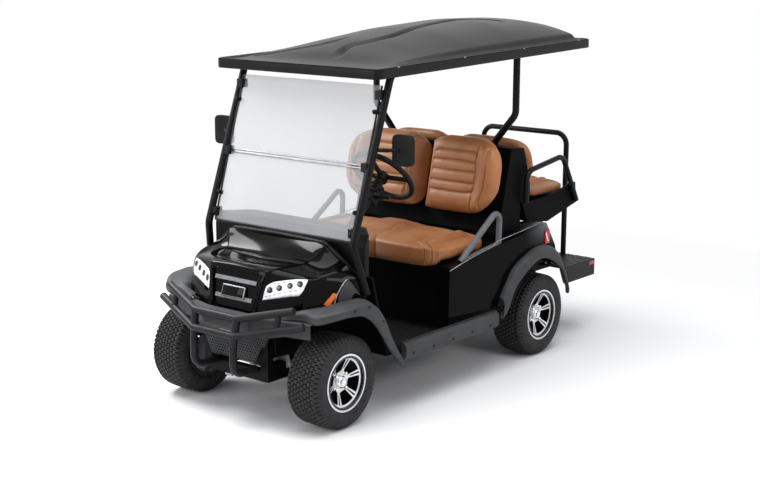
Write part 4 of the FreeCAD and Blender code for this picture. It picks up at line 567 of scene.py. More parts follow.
def basis(axis):
    """Two unit vectors at right angles to an axis and to each other."""
    axis = np.asarray(axis, float) / np.linalg.norm(axis)
    first = np.cross(axis, [0, 0, 1.0] if abs(axis[2]) < 0.9 else [1.0, 0, 0])
    first /= np.linalg.norm(first)
    return axis, first, np.cross(axis, first)


def lathe(profile, centre, axis, count=24, turn=0.0):
    """Turned solid: (along, radius) pairs round an axis through a centre, with a point at each end."""
    axis, first, second = basis(axis)
    profile = np.array([(profile[0][0], 1e-5)] + list(profile) + [(profile[-1][0], 1e-5)], float)
    angle = np.arange(count) * 2 * math.pi / count + turn
    spoke = np.cos(angle)[:, None] * first + np.sin(angle)[:, None] * second
    points = np.asarray(centre) + profile[:, 0][:, None, None] * axis + profile[:, 1][:, None, None] * spoke
    points = points.reshape(-1, 3)
    return points, outward(points, grid_faces(len(profile), count, True))


def rod(line, radius, count=10, flat=1.0):
    """Round bar along a line of points: a ring at each, square to the line's mean direction there."""
    line = np.asarray(line, float)
    ahead = np.gradient(line, axis=0)
    ahead /= np.linalg.norm(ahead, axis=1, keepdims=True)
    mean = line[-1] - line[0]
    _, up, _ = basis(mean if np.linalg.norm(mean) > 1e-6 else ahead[0])
    side = np.cross(ahead, up)
    side /= np.linalg.norm(side, axis=1, keepdims=True)
    up = np.cross(side, ahead)
    line = np.concatenate([line[:1], line, line[-1:]])
    side, up = np.concatenate([side[:1], side, side[-1:]]), np.concatenate([up[:1], up, up[-1:]])
    size = np.full(len(line), radius)
    size[[0, -1]] = 1e-5
    angle = np.arange(count) * 2 * math.pi / count
    points = line[:, None] + size[:, None, None] * (np.cos(angle)[None, :, None] * side[:, None]
                                                    + flat * np.sin(angle)[None, :, None] * up[:, None])
    points = points.reshape(-1, 3)
    return points, outward(points, grid_faces(len(line), count, True))


def block(centre, half, edge, frame_axes=np.eye(3)):
    """Box with rounded edges: the box less a radius, then that radius out from the nearest place."""
    skin, quads = block_skin((5, 5, 5))
    half = np.asarray(half, float)
    spots = np.stack([np.interp(skin[:, k], [-1, -0.6, 0.6, 1], [-h, edge - h, h - edge, h])
                      for k, h in enumerate(half)], 1)
    core = np.clip(spots, edge - half, half - edge)
    apart = spots - core
    reach = np.linalg.norm(apart, axis=1, keepdims=True)
    points = core + np.where(reach > 1e-9, edge * apart / np.maximum(reach, 1e-9), 0)
    points = np.asarray(centre) + points @ np.asarray(frame_axes)
    return points, outward(points, quads)


print("a block has", len(block((0, 0, 0), (1, 1, 1), 0.1)[1]), "quads")

# %% [markdown]
# ## Joining solids
# A hundred screws as a hundred objects would be slow to handle and to export. So the small
# solids of one finish on one body join into one mesh, the left ones with their mirror images.

# %% Joining solids
def joined(parts):
    """Many small solids as one set of points and quads."""
    starts = np.cumsum([0] + [len(points) for points, quads in parts[:-1]])
    return (np.concatenate([points for points, quads in parts]),
            np.concatenate([quads + start for (points, quads), start in zip(parts, starts)]))


def both(parts):
    """The same solids and their mirror images across the middle plane."""
    return parts + [(points * MIRROR, quads[:, ::-1]) for points, quads in parts]


def bolt(place, axis, radius=0.007):
    """Domed screw head with a flange, its axis pointing out of the panel."""
    outline = [(-0.002, 1.25), (0.0012, 1.25), (0.0016, 1.0), (0.004, 0.86), (0.0052, 0.5)]
    return lathe([(along, radius * share) for along, share in outline], place, axis, 12)


print("solids ready", len(bolt((0, 0, 0), (1, 0, 0))[1]))

# %% [markdown]
# ## Seat backs
# Each back is two moulded foam lobes under one sewn cover: a plain panel below, horizontal
# channels above it, and toward the end a bolster and an end panel that stand proud. Between
# the lobes the cover sinks into a valley. Sewing pulls the cover down to the foam along each
# line and the foam stands up between the lines, which is what seam and puffs give. A cloth
# simulation loses seams this fine, so the shape is displaced in code.

# %% Seat backs
CHANNELS = [-0.44, -0.18, 0.12, 0.40, 0.68]  # seams up the panel: -1 is the foot and 1 the top
PANEL_IN, PANEL_OUT, WELT = -0.70, 0.47, 0.82  # seams across a lobe: -1 is inward and 1 the end
BLEND = 0.04  # share of the lobe over which the channels fade out at the panel's sides
CREST, SPLIT = 0.078, 0.0015  # metres: half width of the valley, and of the slit down its middle


def seat_back(name, node, foot, top, low, high, thick, half, turn):
    """Two lobes: superellipse block plus puffs less seams, on the front face only.

    foot and top are the y of that face at heights low and high; turn is -1 where it faces forward."""
    skin, faces = block_skin((92, 20, 104))
    tight, loose = soften(skin, 8.0, 3.2, 1), soften(skin, 3.0, 3.0, 1)
    share = ease(skin[:, [0]], -0.6, 0.6)
    x, y, z = (tight * (1 - share) + loose * share).T
    across, up = 0.35 * skin[:, 0] + 0.65 * x, 0.35 * skin[:, 2] + 0.65 * z
    facing = ease(-y, 0.15, 0.75)
    inside = ease(across, PANEL_IN - BLEND, PANEL_IN + BLEND)
    inside = inside * (1 - ease(across, PANEL_OUT - BLEND, PANEL_OUT + BLEND))
    rise = puffs(up, CHANNELS, 0.009) * inside + puffs(up, [-0.98, CHANNELS[0]], 0.011) * inside
    rise += puffs(up, [CHANNELS[-1], 1.0], 0.009) * inside
    rise += puffs(across, [PANEL_OUT, WELT], 0.017) + puffs(across, [WELT, 1.0], 0.012)
    for line, reach in ((PANEL_IN, 0.014), (PANEL_OUT, 0.014), (WELT, 0.012)):
        rise -= seam(across - line, reach, 0.006)
    for line in CHANNELS:
        rise -= seam(up - line, 0.014, 0.005) * inside
    rise -= 0.010 * ease(across, 0.80, 1.0)
    rise *= facing
    points, quads = [], []
    for side in (1, -1):
        wide = SPLIT + (half - SPLIT) * 0.5 * (1 + x)
        tall = low + (high - low) * 0.5 * (1 + z)
        tall -= 0.034 * ease(-x, 0.45, 1.0) * ease(z, 0.2, 1.0)
        wide -= 0.030 * ease(-z, 0.2, 1.0) * ease(x, 0.2, 1.0)
        slope = (top - foot) / (high - low)
        front = foot + slope * (tall - low)
        valley = 0.84 * thick * np.clip(1 - wide / CREST, 0, 1)
        sweep = 0.045 * ease(across, 0.35, 1.0)
        deep = front - turn * np.maximum(0.5 * thick * (1 + y), valley) + turn * (rise + sweep - 0.010)
        points.append(np.stack([side * wide, deep, tall], 1))
        flipped = (side * turn) > 0
        quads.append((faces[:, ::-1] if flipped else faces) + (len(skin) if side < 0 else 0))
    made = piece(name, np.concatenate(points), np.concatenate(quads), leather)
    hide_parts(node)
    return made


front_back = seat_back("front_backrest", "front_seat_back", 0.214, 0.304, 0.836, 1.238, 0.124, 0.522, -1)
rear_back = seat_back("rear_backrest", "rear_seat_back", 0.718, 0.644, 0.946, 1.222, 0.094, 0.480, 1)
print("backs", [len(o.data.polygons) for o in (front_back, rear_back)])

# %% [markdown]
# ## Seat cushions
# The bench has two places side by side. Each has a flat pan between raised side bolsters,
# and the front edge is boxed: a sewn line runs along the top of the front face, and upright
# seams divide that face. The front face hangs a little over the pod.

# %% Seat cushions
MIDDLE_SEAM, END_SEAM = 0.17, 0.79  # across the bench: 0 is the middle and 1 the end
CROSS_SEAMS = (-0.42, 0.20)  # along the bench: -1 is the front edge and 1 the back
FRONT_SEAMS = (0.16, 0.83, 0.96)  # upright seams of the front face, across the bench


def bench(name, node, low, high, front, back, half, hang, body, turn=1):
    """Superellipse block, raised at the middle and the ends and sunk between, boxed at the front face."""
    skin, faces = block_skin((150, 76, 24))
    form = soften(skin, 8.0, 3.6, 2)
    x, y, z = form.T
    across, along = skin[:, 0], skin[:, 1]
    on_top = ease(z, 0.1, 0.8)
    place = np.abs(across)
    ends = 1 - ease(np.abs(along), 0.55, 1.0)
    pan = ease(place, 0.10, 0.26) * (1 - ease(place, 0.70, 0.84))
    lift = 0.036 * (1 - ease(place, 0.08, 0.34)) * ease(along, -0.7, 0.0) * (1 - ease(along, 0.3, 1.0))
    lift += 0.022 * puffs(place, [END_SEAM, 1.0], 1.0)
    lift += pan * puffs(along, [-1.0, *CROSS_SEAMS, 1.0], 0.010)
    long_seams = seam(place - MIDDLE_SEAM, 0.010, 0.004) + seam(place - END_SEAM, 0.010, 0.006)
    lift -= long_seams * ease(along, -0.9, -0.8)
    lift -= sum(seam(along - line, 0.018, 0.004) for line in CROSS_SEAMS) * pan
    lift += 0.010 * ease(-along, 0.35, 0.8) * (1 - ease(place, 0.76, 0.80))
    lift *= on_top * (0.25 + 0.75 * ends)
    face = ease(-y, 0.6, 0.98)
    swell = puffs(place, [0.0, *FRONT_SEAMS, 1.0], 0.009)
    for line, reach, depth in zip(FRONT_SEAMS, (0.007, 0.008, 0.008), (0.007, 0.007, 0.006)):
        swell -= seam(place - line, reach, depth)
    swell *= face * (1 - ease(np.abs(z), 0.75, 1.0))
    middle, reach = (front + back) / 2, (back - front) / 2
    wide = half * x * (1 - 0.012 * (1 - z * z))
    deep = middle + turn * (reach * y - swell + 0.006 * face)
    tall = low + (high - low) * 0.5 * (1 + z) + lift - 0.012 * on_top
    tall -= hang * ease(-along, 0.76, 0.95) * ease(-z, -0.2, 1.0)
    made = piece(name, np.stack([wide, deep, tall], 1), faces if turn > 0 else faces[:, ::-1], leather, body)
    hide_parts(node)
    return made


front_bench = bench("front_bench", "front_seat_cushion", 0.644, 0.772, -0.224, 0.220, 0.512, 0.030,
                    "front_seat_base")
rear_bench = bench("rear_bench", "rear_seat_cushion", 0.862, 0.950, 0.682, 1.054, 0.478, 0.0, "chassis", -1)
print("benches", [len(o.data.polygons) for o in (front_bench, rear_bench)])

# %% [markdown]
# ## Canopy
# The roof is one sheet of ABS drawn over a mould: a square lip, a flat gutter inside it, and
# a long dome that starts level with the gutter in front and is highest over the seats. Two
# curved channels run back from the front and carry rain to the gutter. As a height over the
# plan, all of it is one formula on an even grid; Solidify gives the sheet its wall.

# %% Plan curves
def polyline_distance(x, y, line):
    """Distance in plan from each point to a line of points, and how far along it as 0 to 1."""
    best, share = np.full(x.shape, 1e9), np.zeros(x.shape)
    line = np.array(line)
    count = len(line) - 1
    for k in range(count):
        a, b = line[k], line[k + 1]
        d = b - a
        t = np.clip(((x - a[0]) * d[0] + (y - a[1]) * d[1]) / (d @ d), 0, 1)
        gap = np.hypot(x - a[0] - t * d[0], y - a[1] - t * d[1])
        near = gap < best
        best, share = np.where(near, gap, best), np.where(near, (k + t) / count, share)
    return best, share


def curve_through(points, steps=24):
    """Catmull-Rom curve through plan points."""
    p = np.array([points[0]] + list(points) + [points[-1]], float)
    t = np.linspace(0, 1, steps, endpoint=False)[:, None]
    runs = []
    for a, b, c, d in zip(p[:-3], p[1:-2], p[2:-1], p[3:]):
        bend, twist = 2 * a - 5 * b + 4 * c - d, 3 * b - a - 3 * c + d
        runs.append(0.5 * (2 * b + (c - a) * t + bend * t ** 2 + twist * t ** 3))
    return np.concatenate(runs + [p[-1:]])


print("long channel in", len(curve_through([(0, 0), (1, 0), (2, 1)], 8)), "points for three")

# %% [markdown]
# ## Height of the canopy
# A drawn sheet has no undercuts, so one height over each place in plan says all of its shape.
# The crown and the side wall change along the roof by two tables, smoothed by a window, and a
# channel is sunk by how near a place is to its curve.

# %% Height of the canopy
# Metres: the sheet's ends and half width, the lip's height, the gutter's distance from the
# edge, the corners' radius and the dome's rise.
ROOF_FRONT, ROOF_REAR, ROOF_HALF = -0.7605, 1.1725, 0.5395
LIP, GUTTER, CORNER, DOME = 0.046, 0.058, 0.040, 0.128
# Shares of the length, and there the crown's height and the side wall's as shares of the dome.
CROWN_AT = np.array([0, 0.10, 0.17, 0.28, 0.45, 0.70, 0.90, 0.955, 1.0])
CROWN = np.array([0, 0.0, 0.30, 0.62, 0.90, 1.0, 0.86, 0.72, 0.60])
WALL = np.array([0, 0.0, 0.05, 0.08, 0.10, 0.12, 0.14, 0.14, 0.14])
LONG_CHANNEL = [(0.086, -0.531), (0.032, -0.400), (0.030, -0.330), (0.076, -0.251), (0.100, -0.121),
                (0.085, 0.049), (0.032, 0.350), (0.032, 0.592), (0.119, 0.760), (0.216, 0.799)]
SHORT_CHANNEL = [(-0.448, -0.545), (-0.308, -0.446), (-0.200, -0.369), (-0.130, -0.251), (-0.097, -0.121)]
LIP_FOLDS = ((0.0006, LIP - 0.004), (0.0006, 0.006), (-0.001, 0.0), (-0.008, 0.0))  # (outward, height)


def roof_height(x, y):
    """Height over the lip's low edge: gutter, plus wall and crown by place along, less the channels."""
    share = (y - ROOF_FRONT) / (ROOF_REAR - ROOF_FRONT)
    fine = np.linspace(0, 1, 400)
    window = np.hanning(41)
    window /= window.sum()
    crown, wall = (np.convolve(np.pad(np.interp(fine, CROWN_AT, line), 20, mode="edge"), window, "valid")
                   for line in (CROWN, WALL))
    crown, wall = np.interp(share, fine, crown), np.interp(share, fine, wall)
    inner = ROOF_HALF - GUTTER
    inside = np.clip(1 - np.abs(x) / inner, 0, 1)
    arch = 1 - (1 - inside) ** 2.4
    step = ease(inner - np.abs(x), 0.0, 0.030) * ease(ROOF_REAR - y, 0.045, 0.085)
    high = LIP + DOME * (wall + (crown - wall) * arch) * step
    edge = np.minimum(ROOF_HALF - np.abs(x), np.minimum(y - ROOF_FRONT, ROOF_REAR - y))
    gutter_end = ease(inner - np.abs(x), -0.012, 0.002) * ease(y - ROOF_FRONT, 0.10, 0.3)
    high -= 0.010 * ease(edge, 0.012, 0.022) * (1 - gutter_end)
    gap, along = polyline_distance(x, y, curve_through(LONG_CHANNEL, 8))
    deep = 0.022 * (1 - ease(gap, 0.004, 0.036)) * ease(along, 0.0, 0.10) * (1 - ease(along, 0.86, 1.0))
    gap, along = polyline_distance(x, y, curve_through(SHORT_CHANNEL, 8))
    deep = np.maximum(deep, 0.011 * (1 - ease(gap, 0.002, 0.027)) * (1 - ease(along, 0.5, 1.0)))
    return high - deep * step


print("height in the middle", roof_height(np.zeros(1), np.zeros(1)).round(4))

# %% [markdown]
# ## Canopy sheet
# The heights are laid over an even grid, whose corners are drawn in to their round, and the
# lip is folded down round it in four rings. A lattice or a sculpt could bend a plane to the
# same form, but a grid keeps the edges straight. The whole sheet leans back a little.

# %% Canopy sheet
def roof_sheet():
    """Plan grid drawn into round corners and lifted to roof_height, with a lip turned down round it."""
    u, v = np.linspace(-1, 1, 141), np.linspace(0, 1, 241)
    x = np.sign(u) * np.abs(u) ** 0.97 * ROOF_HALF
    y = ROOF_FRONT + v * (ROOF_REAR - ROOF_FRONT)
    y, x = np.meshgrid(y, x, indexing="ij")
    # points beyond a corner's circle come back to it
    cx, cy = ROOF_HALF - CORNER, np.stack([ROOF_FRONT + CORNER - y, y - (ROOF_REAR - CORNER)])
    dx, dy = np.abs(x) - cx, cy.max(0)
    over = (dx > 0) & (dy > 0)
    pull = np.where(over, np.maximum(dx, dy) / np.maximum(np.hypot(dx, dy), 1e-9), 1)
    nx = np.where(over, np.sign(x) * (cx + dx * pull), x)
    turned = np.where(cy[0] > 0, ROOF_FRONT + CORNER - dy * pull, ROOF_REAR - CORNER + dy * pull)
    ny = np.where(over, turned, y)
    top = np.stack([nx, ny, roof_height(nx, ny)], -1)
    rows, columns = top.shape[:2]
    last = np.arange(rows * columns).reshape(rows, columns)
    last = np.concatenate([last[0, :], last[1:, -1], last[-1, -2::-1], last[-2:0:-1, 0]])
    plan = top.reshape(-1, 3)[last, :2]
    points, faces, count = [top.reshape(-1, 3)], [grid_faces(rows, columns)[:, ::-1]], rows * columns
    for out, high in LIP_FOLDS:
        place = plan + out * np.sign(plan) * (np.abs(plan) > [ROOF_HALF - CORNER, 0.55])
        points.append(np.column_stack([place, np.full(len(plan), high)]))
        here = count + np.arange(len(plan))
        count += len(plan)
        faces.append(np.stack([last, here, np.roll(here, -1), np.roll(last, -1)], 1))
        last = here
    return np.concatenate(points), np.concatenate(faces)


ROOF_TILT, ROOF_AT = math.radians(1.5), 1.645  # the roof rises to the rear; height of its front edge
cosine, sine = math.cos(ROOF_TILT), math.sin(ROOF_TILT)
points, faces = roof_sheet()
local = points - [0, ROOF_FRONT, 0]
placed = np.stack([local[:, 0], ROOF_FRONT + local[:, 1] * cosine - local[:, 2] * sine,
                   ROOF_AT + local[:, 1] * sine + local[:, 2] * cosine], 1)
roof = piece("canopy_sheet", placed, faces, canopy_skin)
thicken(roof, 0.0045)
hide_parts("canopy")
print("canopy", placed.min(0).round(3), placed.max(0).round(3))

# %% [markdown]
# ## Hood surface
# The front cowl is thermoformed like the roof but painted high gloss, so its reflections
# show every unevenness. A smooth curve is passed through a coarse grid of control points,
# across and then along, and close columns of points keep the edges of the centre bulge crisp.

# %% Hood surface
COWL = np.array([
    [(0, -1.0, 0), (0.265, -1.0, 0), (0.33, -0.93, 0), (0.68, -0.62, 0), (0.79, -0.38, 0),
     (0.88, 0.02, 0), (0.965, 0.42, 0)],
    [(0, -0.925, 0.207), (0.289, -0.925, 0.207), (0.348, -0.85, 0.207), (0.696, -0.5, 0.335),
     (0.8, -0.3, 0.21), (0.9, 0.08, 0.12), (0.972, 0.45, 0.09)],
    [(0, -0.797, 0.558), (0.329, -0.797, 0.558), (0.367, -0.744, 0.436), (0.719, -0.367, 0.518),
     (0.81, -0.18, 0.45), (0.905, 0.16, 0.34), (0.976, 0.5, 0.24)],
    [(0, -0.64, 0.665), (0.36, -0.61, 0.65), (0.41, -0.56, 0.62), (0.735, -0.22, 0.565),
     (0.82, -0.03, 0.575), (0.91, 0.28, 0.47), (0.982, 0.58, 0.29)],
    [(0, 0.097, 0.692), (0.48, 0.2, 0.7), (0.53, 0.2, 0.685), (0.735, 0.15, 0.62), (0.83, 0.25, 0.64),
     (0.92, 0.45, 0.52), (0.99, 0.68, 0.26)],
    [(0, 0.831, 1.0), (0.58, 0.6, 0.955), (0.63, 0.6, 0.91), (0.76, 0.64, 0.76), (0.87, 0.68, 0.66),
     (0.965, 0.74, 0.5), (1, 0.831, 0.2)],
])
STEP = 14  # fine quads to a cell of the table


def cowl_place(share):
    """Metres from the shares of half-width, reach and height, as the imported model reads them."""
    return share * [0.520, 0.207, 0.328] + [0, FRONT_AXLE, 0.540]


def through(grid, steps, axis):
    """Catmull-Rom along one axis of a grid of points, each span in steps; the ends keep their slope."""
    p = np.moveaxis(grid, axis, 0)
    p = np.concatenate([2 * p[:1] - p[1:2], p, 2 * p[-1:] - p[-2:-1]])
    t = np.linspace(0, 1, steps, endpoint=False)[None, :, None, None]
    a, b, c, d = (p[k:len(p) - 3 + k][:, None] for k in range(4))
    bend, twist = 2 * a - 5 * b + 4 * c - d, 3 * b - a - 3 * c + d
    runs = 0.5 * (2 * b + (c - a) * t + bend * t ** 2 + twist * t ** 3)
    line = np.concatenate([runs.reshape(-1, *p.shape[1:]), p[-2:-1]])
    return np.moveaxis(line, 0, axis)


def cowl_grid():
    """The whole hood as a fine grid: both halves, rounded across and then from nose to screen."""
    half = cowl_place(COWL)
    mirrored = half[:, :0:-1] * MIRROR
    return through(through(np.concatenate([mirrored, half], 1), STEP, 1), STEP, 0)


print("hood grid", cowl_grid().shape[:2])

# %% [markdown]
# ## Hood
# The surface is cut where the nose panel and the lamps sit, by leaving out the quads of those
# cells of the table: a Boolean would leave long thin faces that shade badly on gloss paint.

# %% Hood
def cell_mask(rows, columns, cells, inset):
    """True where a fine quad lies in a coarse cell (rows, columns), less an inset."""
    i, j = np.meshgrid(*((np.arange(n - 1) + 0.5) / STEP for n in (rows, columns)), indexing="ij")
    held = np.zeros(i.shape, bool)
    for top, foot, left, right in cells:
        held |= (i > top + inset) & (i < foot - inset) & (j > left + inset) & (j < right - inset)
    return held.ravel()


cowl_points = cowl_grid()
rows, columns = cowl_points.shape[:2]
fascia_hole = cell_mask(rows, columns, [(0, 2, 5, 7)], 0.0)
lamp_holes = cell_mask(rows, columns, [(1, 2, 8, 9), (1, 2, 3, 4)], 0.08)
quads = grid_faces(rows, columns)[~(fascia_hole | lamp_holes)]
hood = piece("hood_skin", cowl_points.reshape(-1, 3), quads, gloss_paint)
thicken(hood, 0.0038)
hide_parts("front_cowl")
print("hood quads", len(quads))

# %% [markdown]
# ## Tread pattern
# A turf tyre is cured in a mould, so its tread is the mould's negative: eight columns of
# blocks, every other column set half a pitch on, with grooves six to seven millimetres deep,
# and lugs that run on over the shoulder. The groove depth is a formula of the place across
# the tread and of the angle, and the grid has its lines just where the groove walls are.

# %% Tread pattern
PITCHES, TREAD_HALF, COLUMN = 58, 0.080, 0.020  # blocks round the tyre; metres
GROOVE = np.array([-0.0024, -0.0016, 0.0016, 0.0024])  # metres across a groove: edge, floor, floor, edge
CUT_FLOOR, CUT_EDGE = 0.11, 0.16  # the same for the cross cuts, in pitches
TURNS = np.array([0.11, 0.16, 0.34, 0.39, 0.61, 0.66, 0.84, 0.89])  # both columns' walls in one pitch
FLANK = np.array([(0.088, 0.1418), (0.09, 0.144), (0.0955, 0.1475), (0.099, 0.1545), (0.1015, 0.164),
                  (0.1022, 0.176), (0.101, 0.188), (0.0985, 0.1975), (0.0975, 0.1985), (0.0965, 0.205),
                  (0.093, 0.212), (0.0895, 0.217), (0.086, 0.2215), (0.083, 0.2245)])


def tyre_section():
    """Half-outline from the bead over the flank, then the tread's columns, and the bore closed behind."""
    seams = (np.arange(-3, 4) * COLUMN)[:, None] + GROOVE
    inner = TREAD_HALF - 0.0008
    across = np.concatenate([[-TREAD_HALF, -inner], seams.ravel(), [inner, TREAD_HALF]])
    crown = 0.2298 - 0.9 * (across / 0.42) ** 2 * 0.11
    left = FLANK * [-1, 1]
    tread = np.column_stack([across, crown])
    bore = np.array([(0.0880, 0.1274), (0.030, 0.1272), (-0.030, 0.1272), (-0.0880, 0.1274)])
    return np.concatenate([left, tread, FLANK[::-1], bore])


def groove_depth(across, turn):
    """Mould depth: rings between columns, cross cuts in each column, and lugs on the shoulder."""
    place = across / COLUMN
    ring = 1 - ease(np.abs(place - np.round(place)) * COLUMN, GROOVE[2], GROOVE[3])
    ring *= np.abs(across) < TREAD_HALF - COLUMN / 2
    phase = (turn + 0.5 * (np.floor(place) % 2)) % 1.0
    cut = 1 - ease(np.minimum(phase, 1 - phase), CUT_FLOOR, CUT_EDGE)
    phase = turn % 1.0
    lug = 1 - ease(np.minimum(phase, 1 - phase), CUT_FLOOR, CUT_EDGE)
    shoulder = 0.0055 * lug * (1 - ease(np.abs(across), 0.090, 0.0985))
    tread = np.maximum(0.0070 * ring, 0.0060 * cut)
    return np.where(np.abs(across) < TREAD_HALF - 0.0002, tread, shoulder)


print("section of", len(tyre_section()), "points")

# %% [markdown]
# ## Tyres
# A Spin modifier could turn the section, but not cut blocks into it. So the grid is made
# whole, and each point of it sinks by the groove's depth, which also goes into an attribute
# that the rubber reads. Every tyre rides on its own wheel's body.

# %% Tyres
def tyre(name, body, middle):
    """The section turned through every pitch, each point sunk along its normal by the groove depth."""
    outline = tyre_section()
    turn = (np.arange(PITCHES)[:, None] + TURNS).ravel()
    width, radius = (np.repeat(outline[:, [k]], len(turn), 1) for k in (0, 1))
    tangent = np.gradient(outline, axis=0)
    normal = np.column_stack([-tangent[:, 1], tangent[:, 0]])
    normal /= np.linalg.norm(normal, axis=1, keepdims=True)
    depth = groove_depth(width, turn[None, :]) * (radius > 0.197)
    width = width - depth * normal[:, :1]
    radius = radius - depth * np.abs(normal[:, 1:])
    angle = turn[None, :] * 2 * math.pi / PITCHES
    points = np.stack([width, radius * np.cos(angle), radius * np.sin(angle)], -1) + np.asarray(middle)
    points = points.reshape(-1, 3)
    quads = outward(points, grid_faces(len(outline), len(turn), True, True))
    made = piece(name, points, quads, rubber, body)
    made.data.attributes.new("groove", "FLOAT", "POINT").data.foreach_set("value", depth.ravel())
    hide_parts(name.replace("tread", "tyre"))
    return made


WHEELS = {}
for end, track, along in (("front", 0.463, FRONT_AXLE), ("rear", 0.486, REAR_AXLE)):
    for side, sign in (("left", 1), ("right", -1)):
        WHEELS[end + "_" + side] = np.array([sign * track, along, AXLE_HEIGHT])
for key, middle in WHEELS.items():
    made = tyre("tread_" + key, "wheel_" + key, middle)
print("tyre quads", len(made.data.polygons))

# %% [markdown]
# ## Wheel trim
# Four plated lug nuts on a circle of 97 mm, with sixty-degree seats, and a pressed chrome cap
# over the hub. Both are turned profiles; a nut is the same lathe with six sides.

# %% Wheel trim
NUT = [(0, 0.0120), (0.003, 0.0120), (0.004, 0.0098), (0.016, 0.0098), (0.019, 0.0082), (0.021, 0.0045)]
CAP = [(0.050, 0.0300), (0.064, 0.0306), (0.068, 0.0292), (0.0705, 0.0245), (0.0715, 0.0240),
       (0.0718, 0.0200), (0.0708, 0.0194), (0.0712, 0.0060)]
LUG_RADIUS, LUG_OUT = 0.0485, 0.047  # metres from the axle, and outward from the wheel's middle
for key, middle in WHEELS.items():
    sign = np.sign(middle[0])
    axis = (sign, 0, 0)
    nuts = []
    for corner in np.radians([45, 135, 225, 315]):
        seat = [sign * LUG_OUT, LUG_RADIUS * math.cos(corner), LUG_RADIUS * math.sin(corner)]
        nuts.append(lathe(NUT, middle + seat, axis, 6, corner))
    cap = lathe(CAP, middle, axis, 48)
    points, quads = joined(nuts + [cap])
    trim = piece("wheel_trim_" + key, points, quads, chrome, "wheel_" + key)
print("wheel trim", len(quads))

# %% [markdown]
# ## Front flares
# The flare is one injection moulding: it leaves the valance low down, swells out over the
# wheel, and falls in one band to the sill, with a rolled lip. Eleven sections with eight
# places each are joined by the same smooth curve as the hood, first round the section and
# then along the wheel. The first place of each is a flange that runs on under the hood.

# %% Front flares
FLARE_LIP = [(0.3, -1.196, 0.536), (0.425, -1.166, 0.545), (0.5, -1.158, 0.538), (0.562, -1.12, 0.556),
             (0.6, -1.06, 0.57), (0.611, -0.995, 0.568), (0.611, -0.94, 0.556), (0.611, -0.876, 0.515),
             (0.611, -0.813, 0.445), (0.611, -0.748, 0.356), (0.611, -0.652, 0.246)]
FLARE_CREST = [(0.3, -1.188, 0.546), (0.418, -1.163, 0.572), (0.492, -1.152, 0.566),
               (0.552, -1.112, 0.584), (0.59, -1.055, 0.598), (0.602, -0.985, 0.603),
               (0.603, -0.912, 0.603), (0.604, -0.842, 0.566), (0.606, -0.786, 0.5),
               (0.608, -0.72, 0.374), (0.61, -0.64, 0.258)]
FLARE_ROOT = [(0.3, -1.148, 0.552), (0.392, -1.14, 0.58), (0.418, -1.095, 0.586), (0.446, -1.05, 0.59),
              (0.474, -0.995, 0.6), (0.503, -0.935, 0.609), (0.524, -0.885, 0.611),
              (0.545, -0.832, 0.588), (0.562, -0.78, 0.512), (0.575, -0.715, 0.39),
              (0.584, -0.634, 0.27)]


def flare_skin():
    """Root, shoulder, crest, lip and the lip's return at each section, made smooth both ways."""
    lip, crest, root = (np.array(line) for line in (FLARE_LIP, FLARE_CREST, FLARE_ROOT))
    shoulder = root + (crest - root) * 0.72 + [0, 0, 0.004]
    under = lip + [-0.010, 0, -0.002]
    back = lip + [-0.016, 0, 0.012]
    inward, below = (0.05, 0.08, 0.09, 0.08, 0.07, 0.06, 0.045, 0.02, 0.01, 0.004, 0.002), [-0.8, 0, -0.8]
    flange = root + np.outer(inward, below)
    band = crest + (lip - crest) * 0.55 + [0.001, 0, 0]
    grid = np.stack([flange, root, shoulder, crest, band, lip, under, back], 1)
    return through(through(grid, 6, 1), 10, 0)


FLARE_WALL = 0.0035
flares = piece("front_flare_skins", *twin(flare_skin()), grey_plastic)
thicken(flares, FLARE_WALL)
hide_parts("front_flares")
print("front flares", len(flares.data.polygons))

# %% [markdown]
# ## Rear flares
# The rear flare is the same moulding over a wheel that never steers, so its band is upright
# and of even width. Seven sections round the wheel, in tyre radii from the axle, each with
# seven places from the panel outward, are smoothed both ways.

# %% Rear flares
REAR_LIP = np.array([(-1.93, 0.33), (-1.70, 0.52), (-1.33, 1.05), (-0.36, 1.50), (0.50, 1.20),
                     (0.90, 0.64), (0.97, 0.39)])
REAR_ROOT = np.array([(-1.80, 0.76), (-1.52, 1.10), (-1.20, 1.42), (-0.36, 1.72), (0.26, 1.68),
                      (0.62, 1.36), (1.02, 0.60)])
FLARE_PLACES = ((0.5725, 1.0), (0.592, 0.96), (0.609, 0.80), (0.6165, 0.45), (0.6175, 0.0), (0.607, -0.02),
                (0.600, 0.10))


def rear_flare_skin():
    """Each place is x in metres and a share of the way from lip to root."""
    lip, root = (line * AXLE_HEIGHT + [REAR_AXLE, AXLE_HEIGHT] for line in (REAR_LIP, REAR_ROOT))
    rise = root - lip
    grid = np.stack([np.column_stack([np.full(len(lip), x), lip + rise * t]) for x, t in FLARE_PLACES], 1)
    return through(through(grid, 5, 1), 12, 0)


flares = piece("rear_flare_skins", *twin(rear_flare_skin()), grey_plastic)
thicken(flares, FLARE_WALL)
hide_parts("rear_flares")
print("rear flares", len(flares.data.polygons))

# %% [markdown]
# ## Places on the hood
# Lamps, mouldings and panels lie on the hood, so they are placed in the hood's own table:
# which column across and which row along, with shares between. Anything placed so stays
# flush if the hood's points move.

# %% Places on the hood
def on_cowl(across, along, proud):
    """A place on the hood's left half by fine row and column share, stood off along the local normal."""
    grid = cowl_points
    i, j = along * STEP, (6 + across) * STEP
    low_i, low_j = int(i), int(j)
    here = grid[low_i, low_j]
    ahead = grid[min(low_i + 1, len(grid) - 1), low_j] - here
    aside = grid[low_i, min(low_j + 1, grid.shape[1] - 1)] - here
    normal = np.cross(ahead, aside)
    normal /= np.linalg.norm(normal)
    return here + ahead * (i - low_i) + aside * (j - low_j) + normal * proud * (1 if normal[0] > 0 else -1)


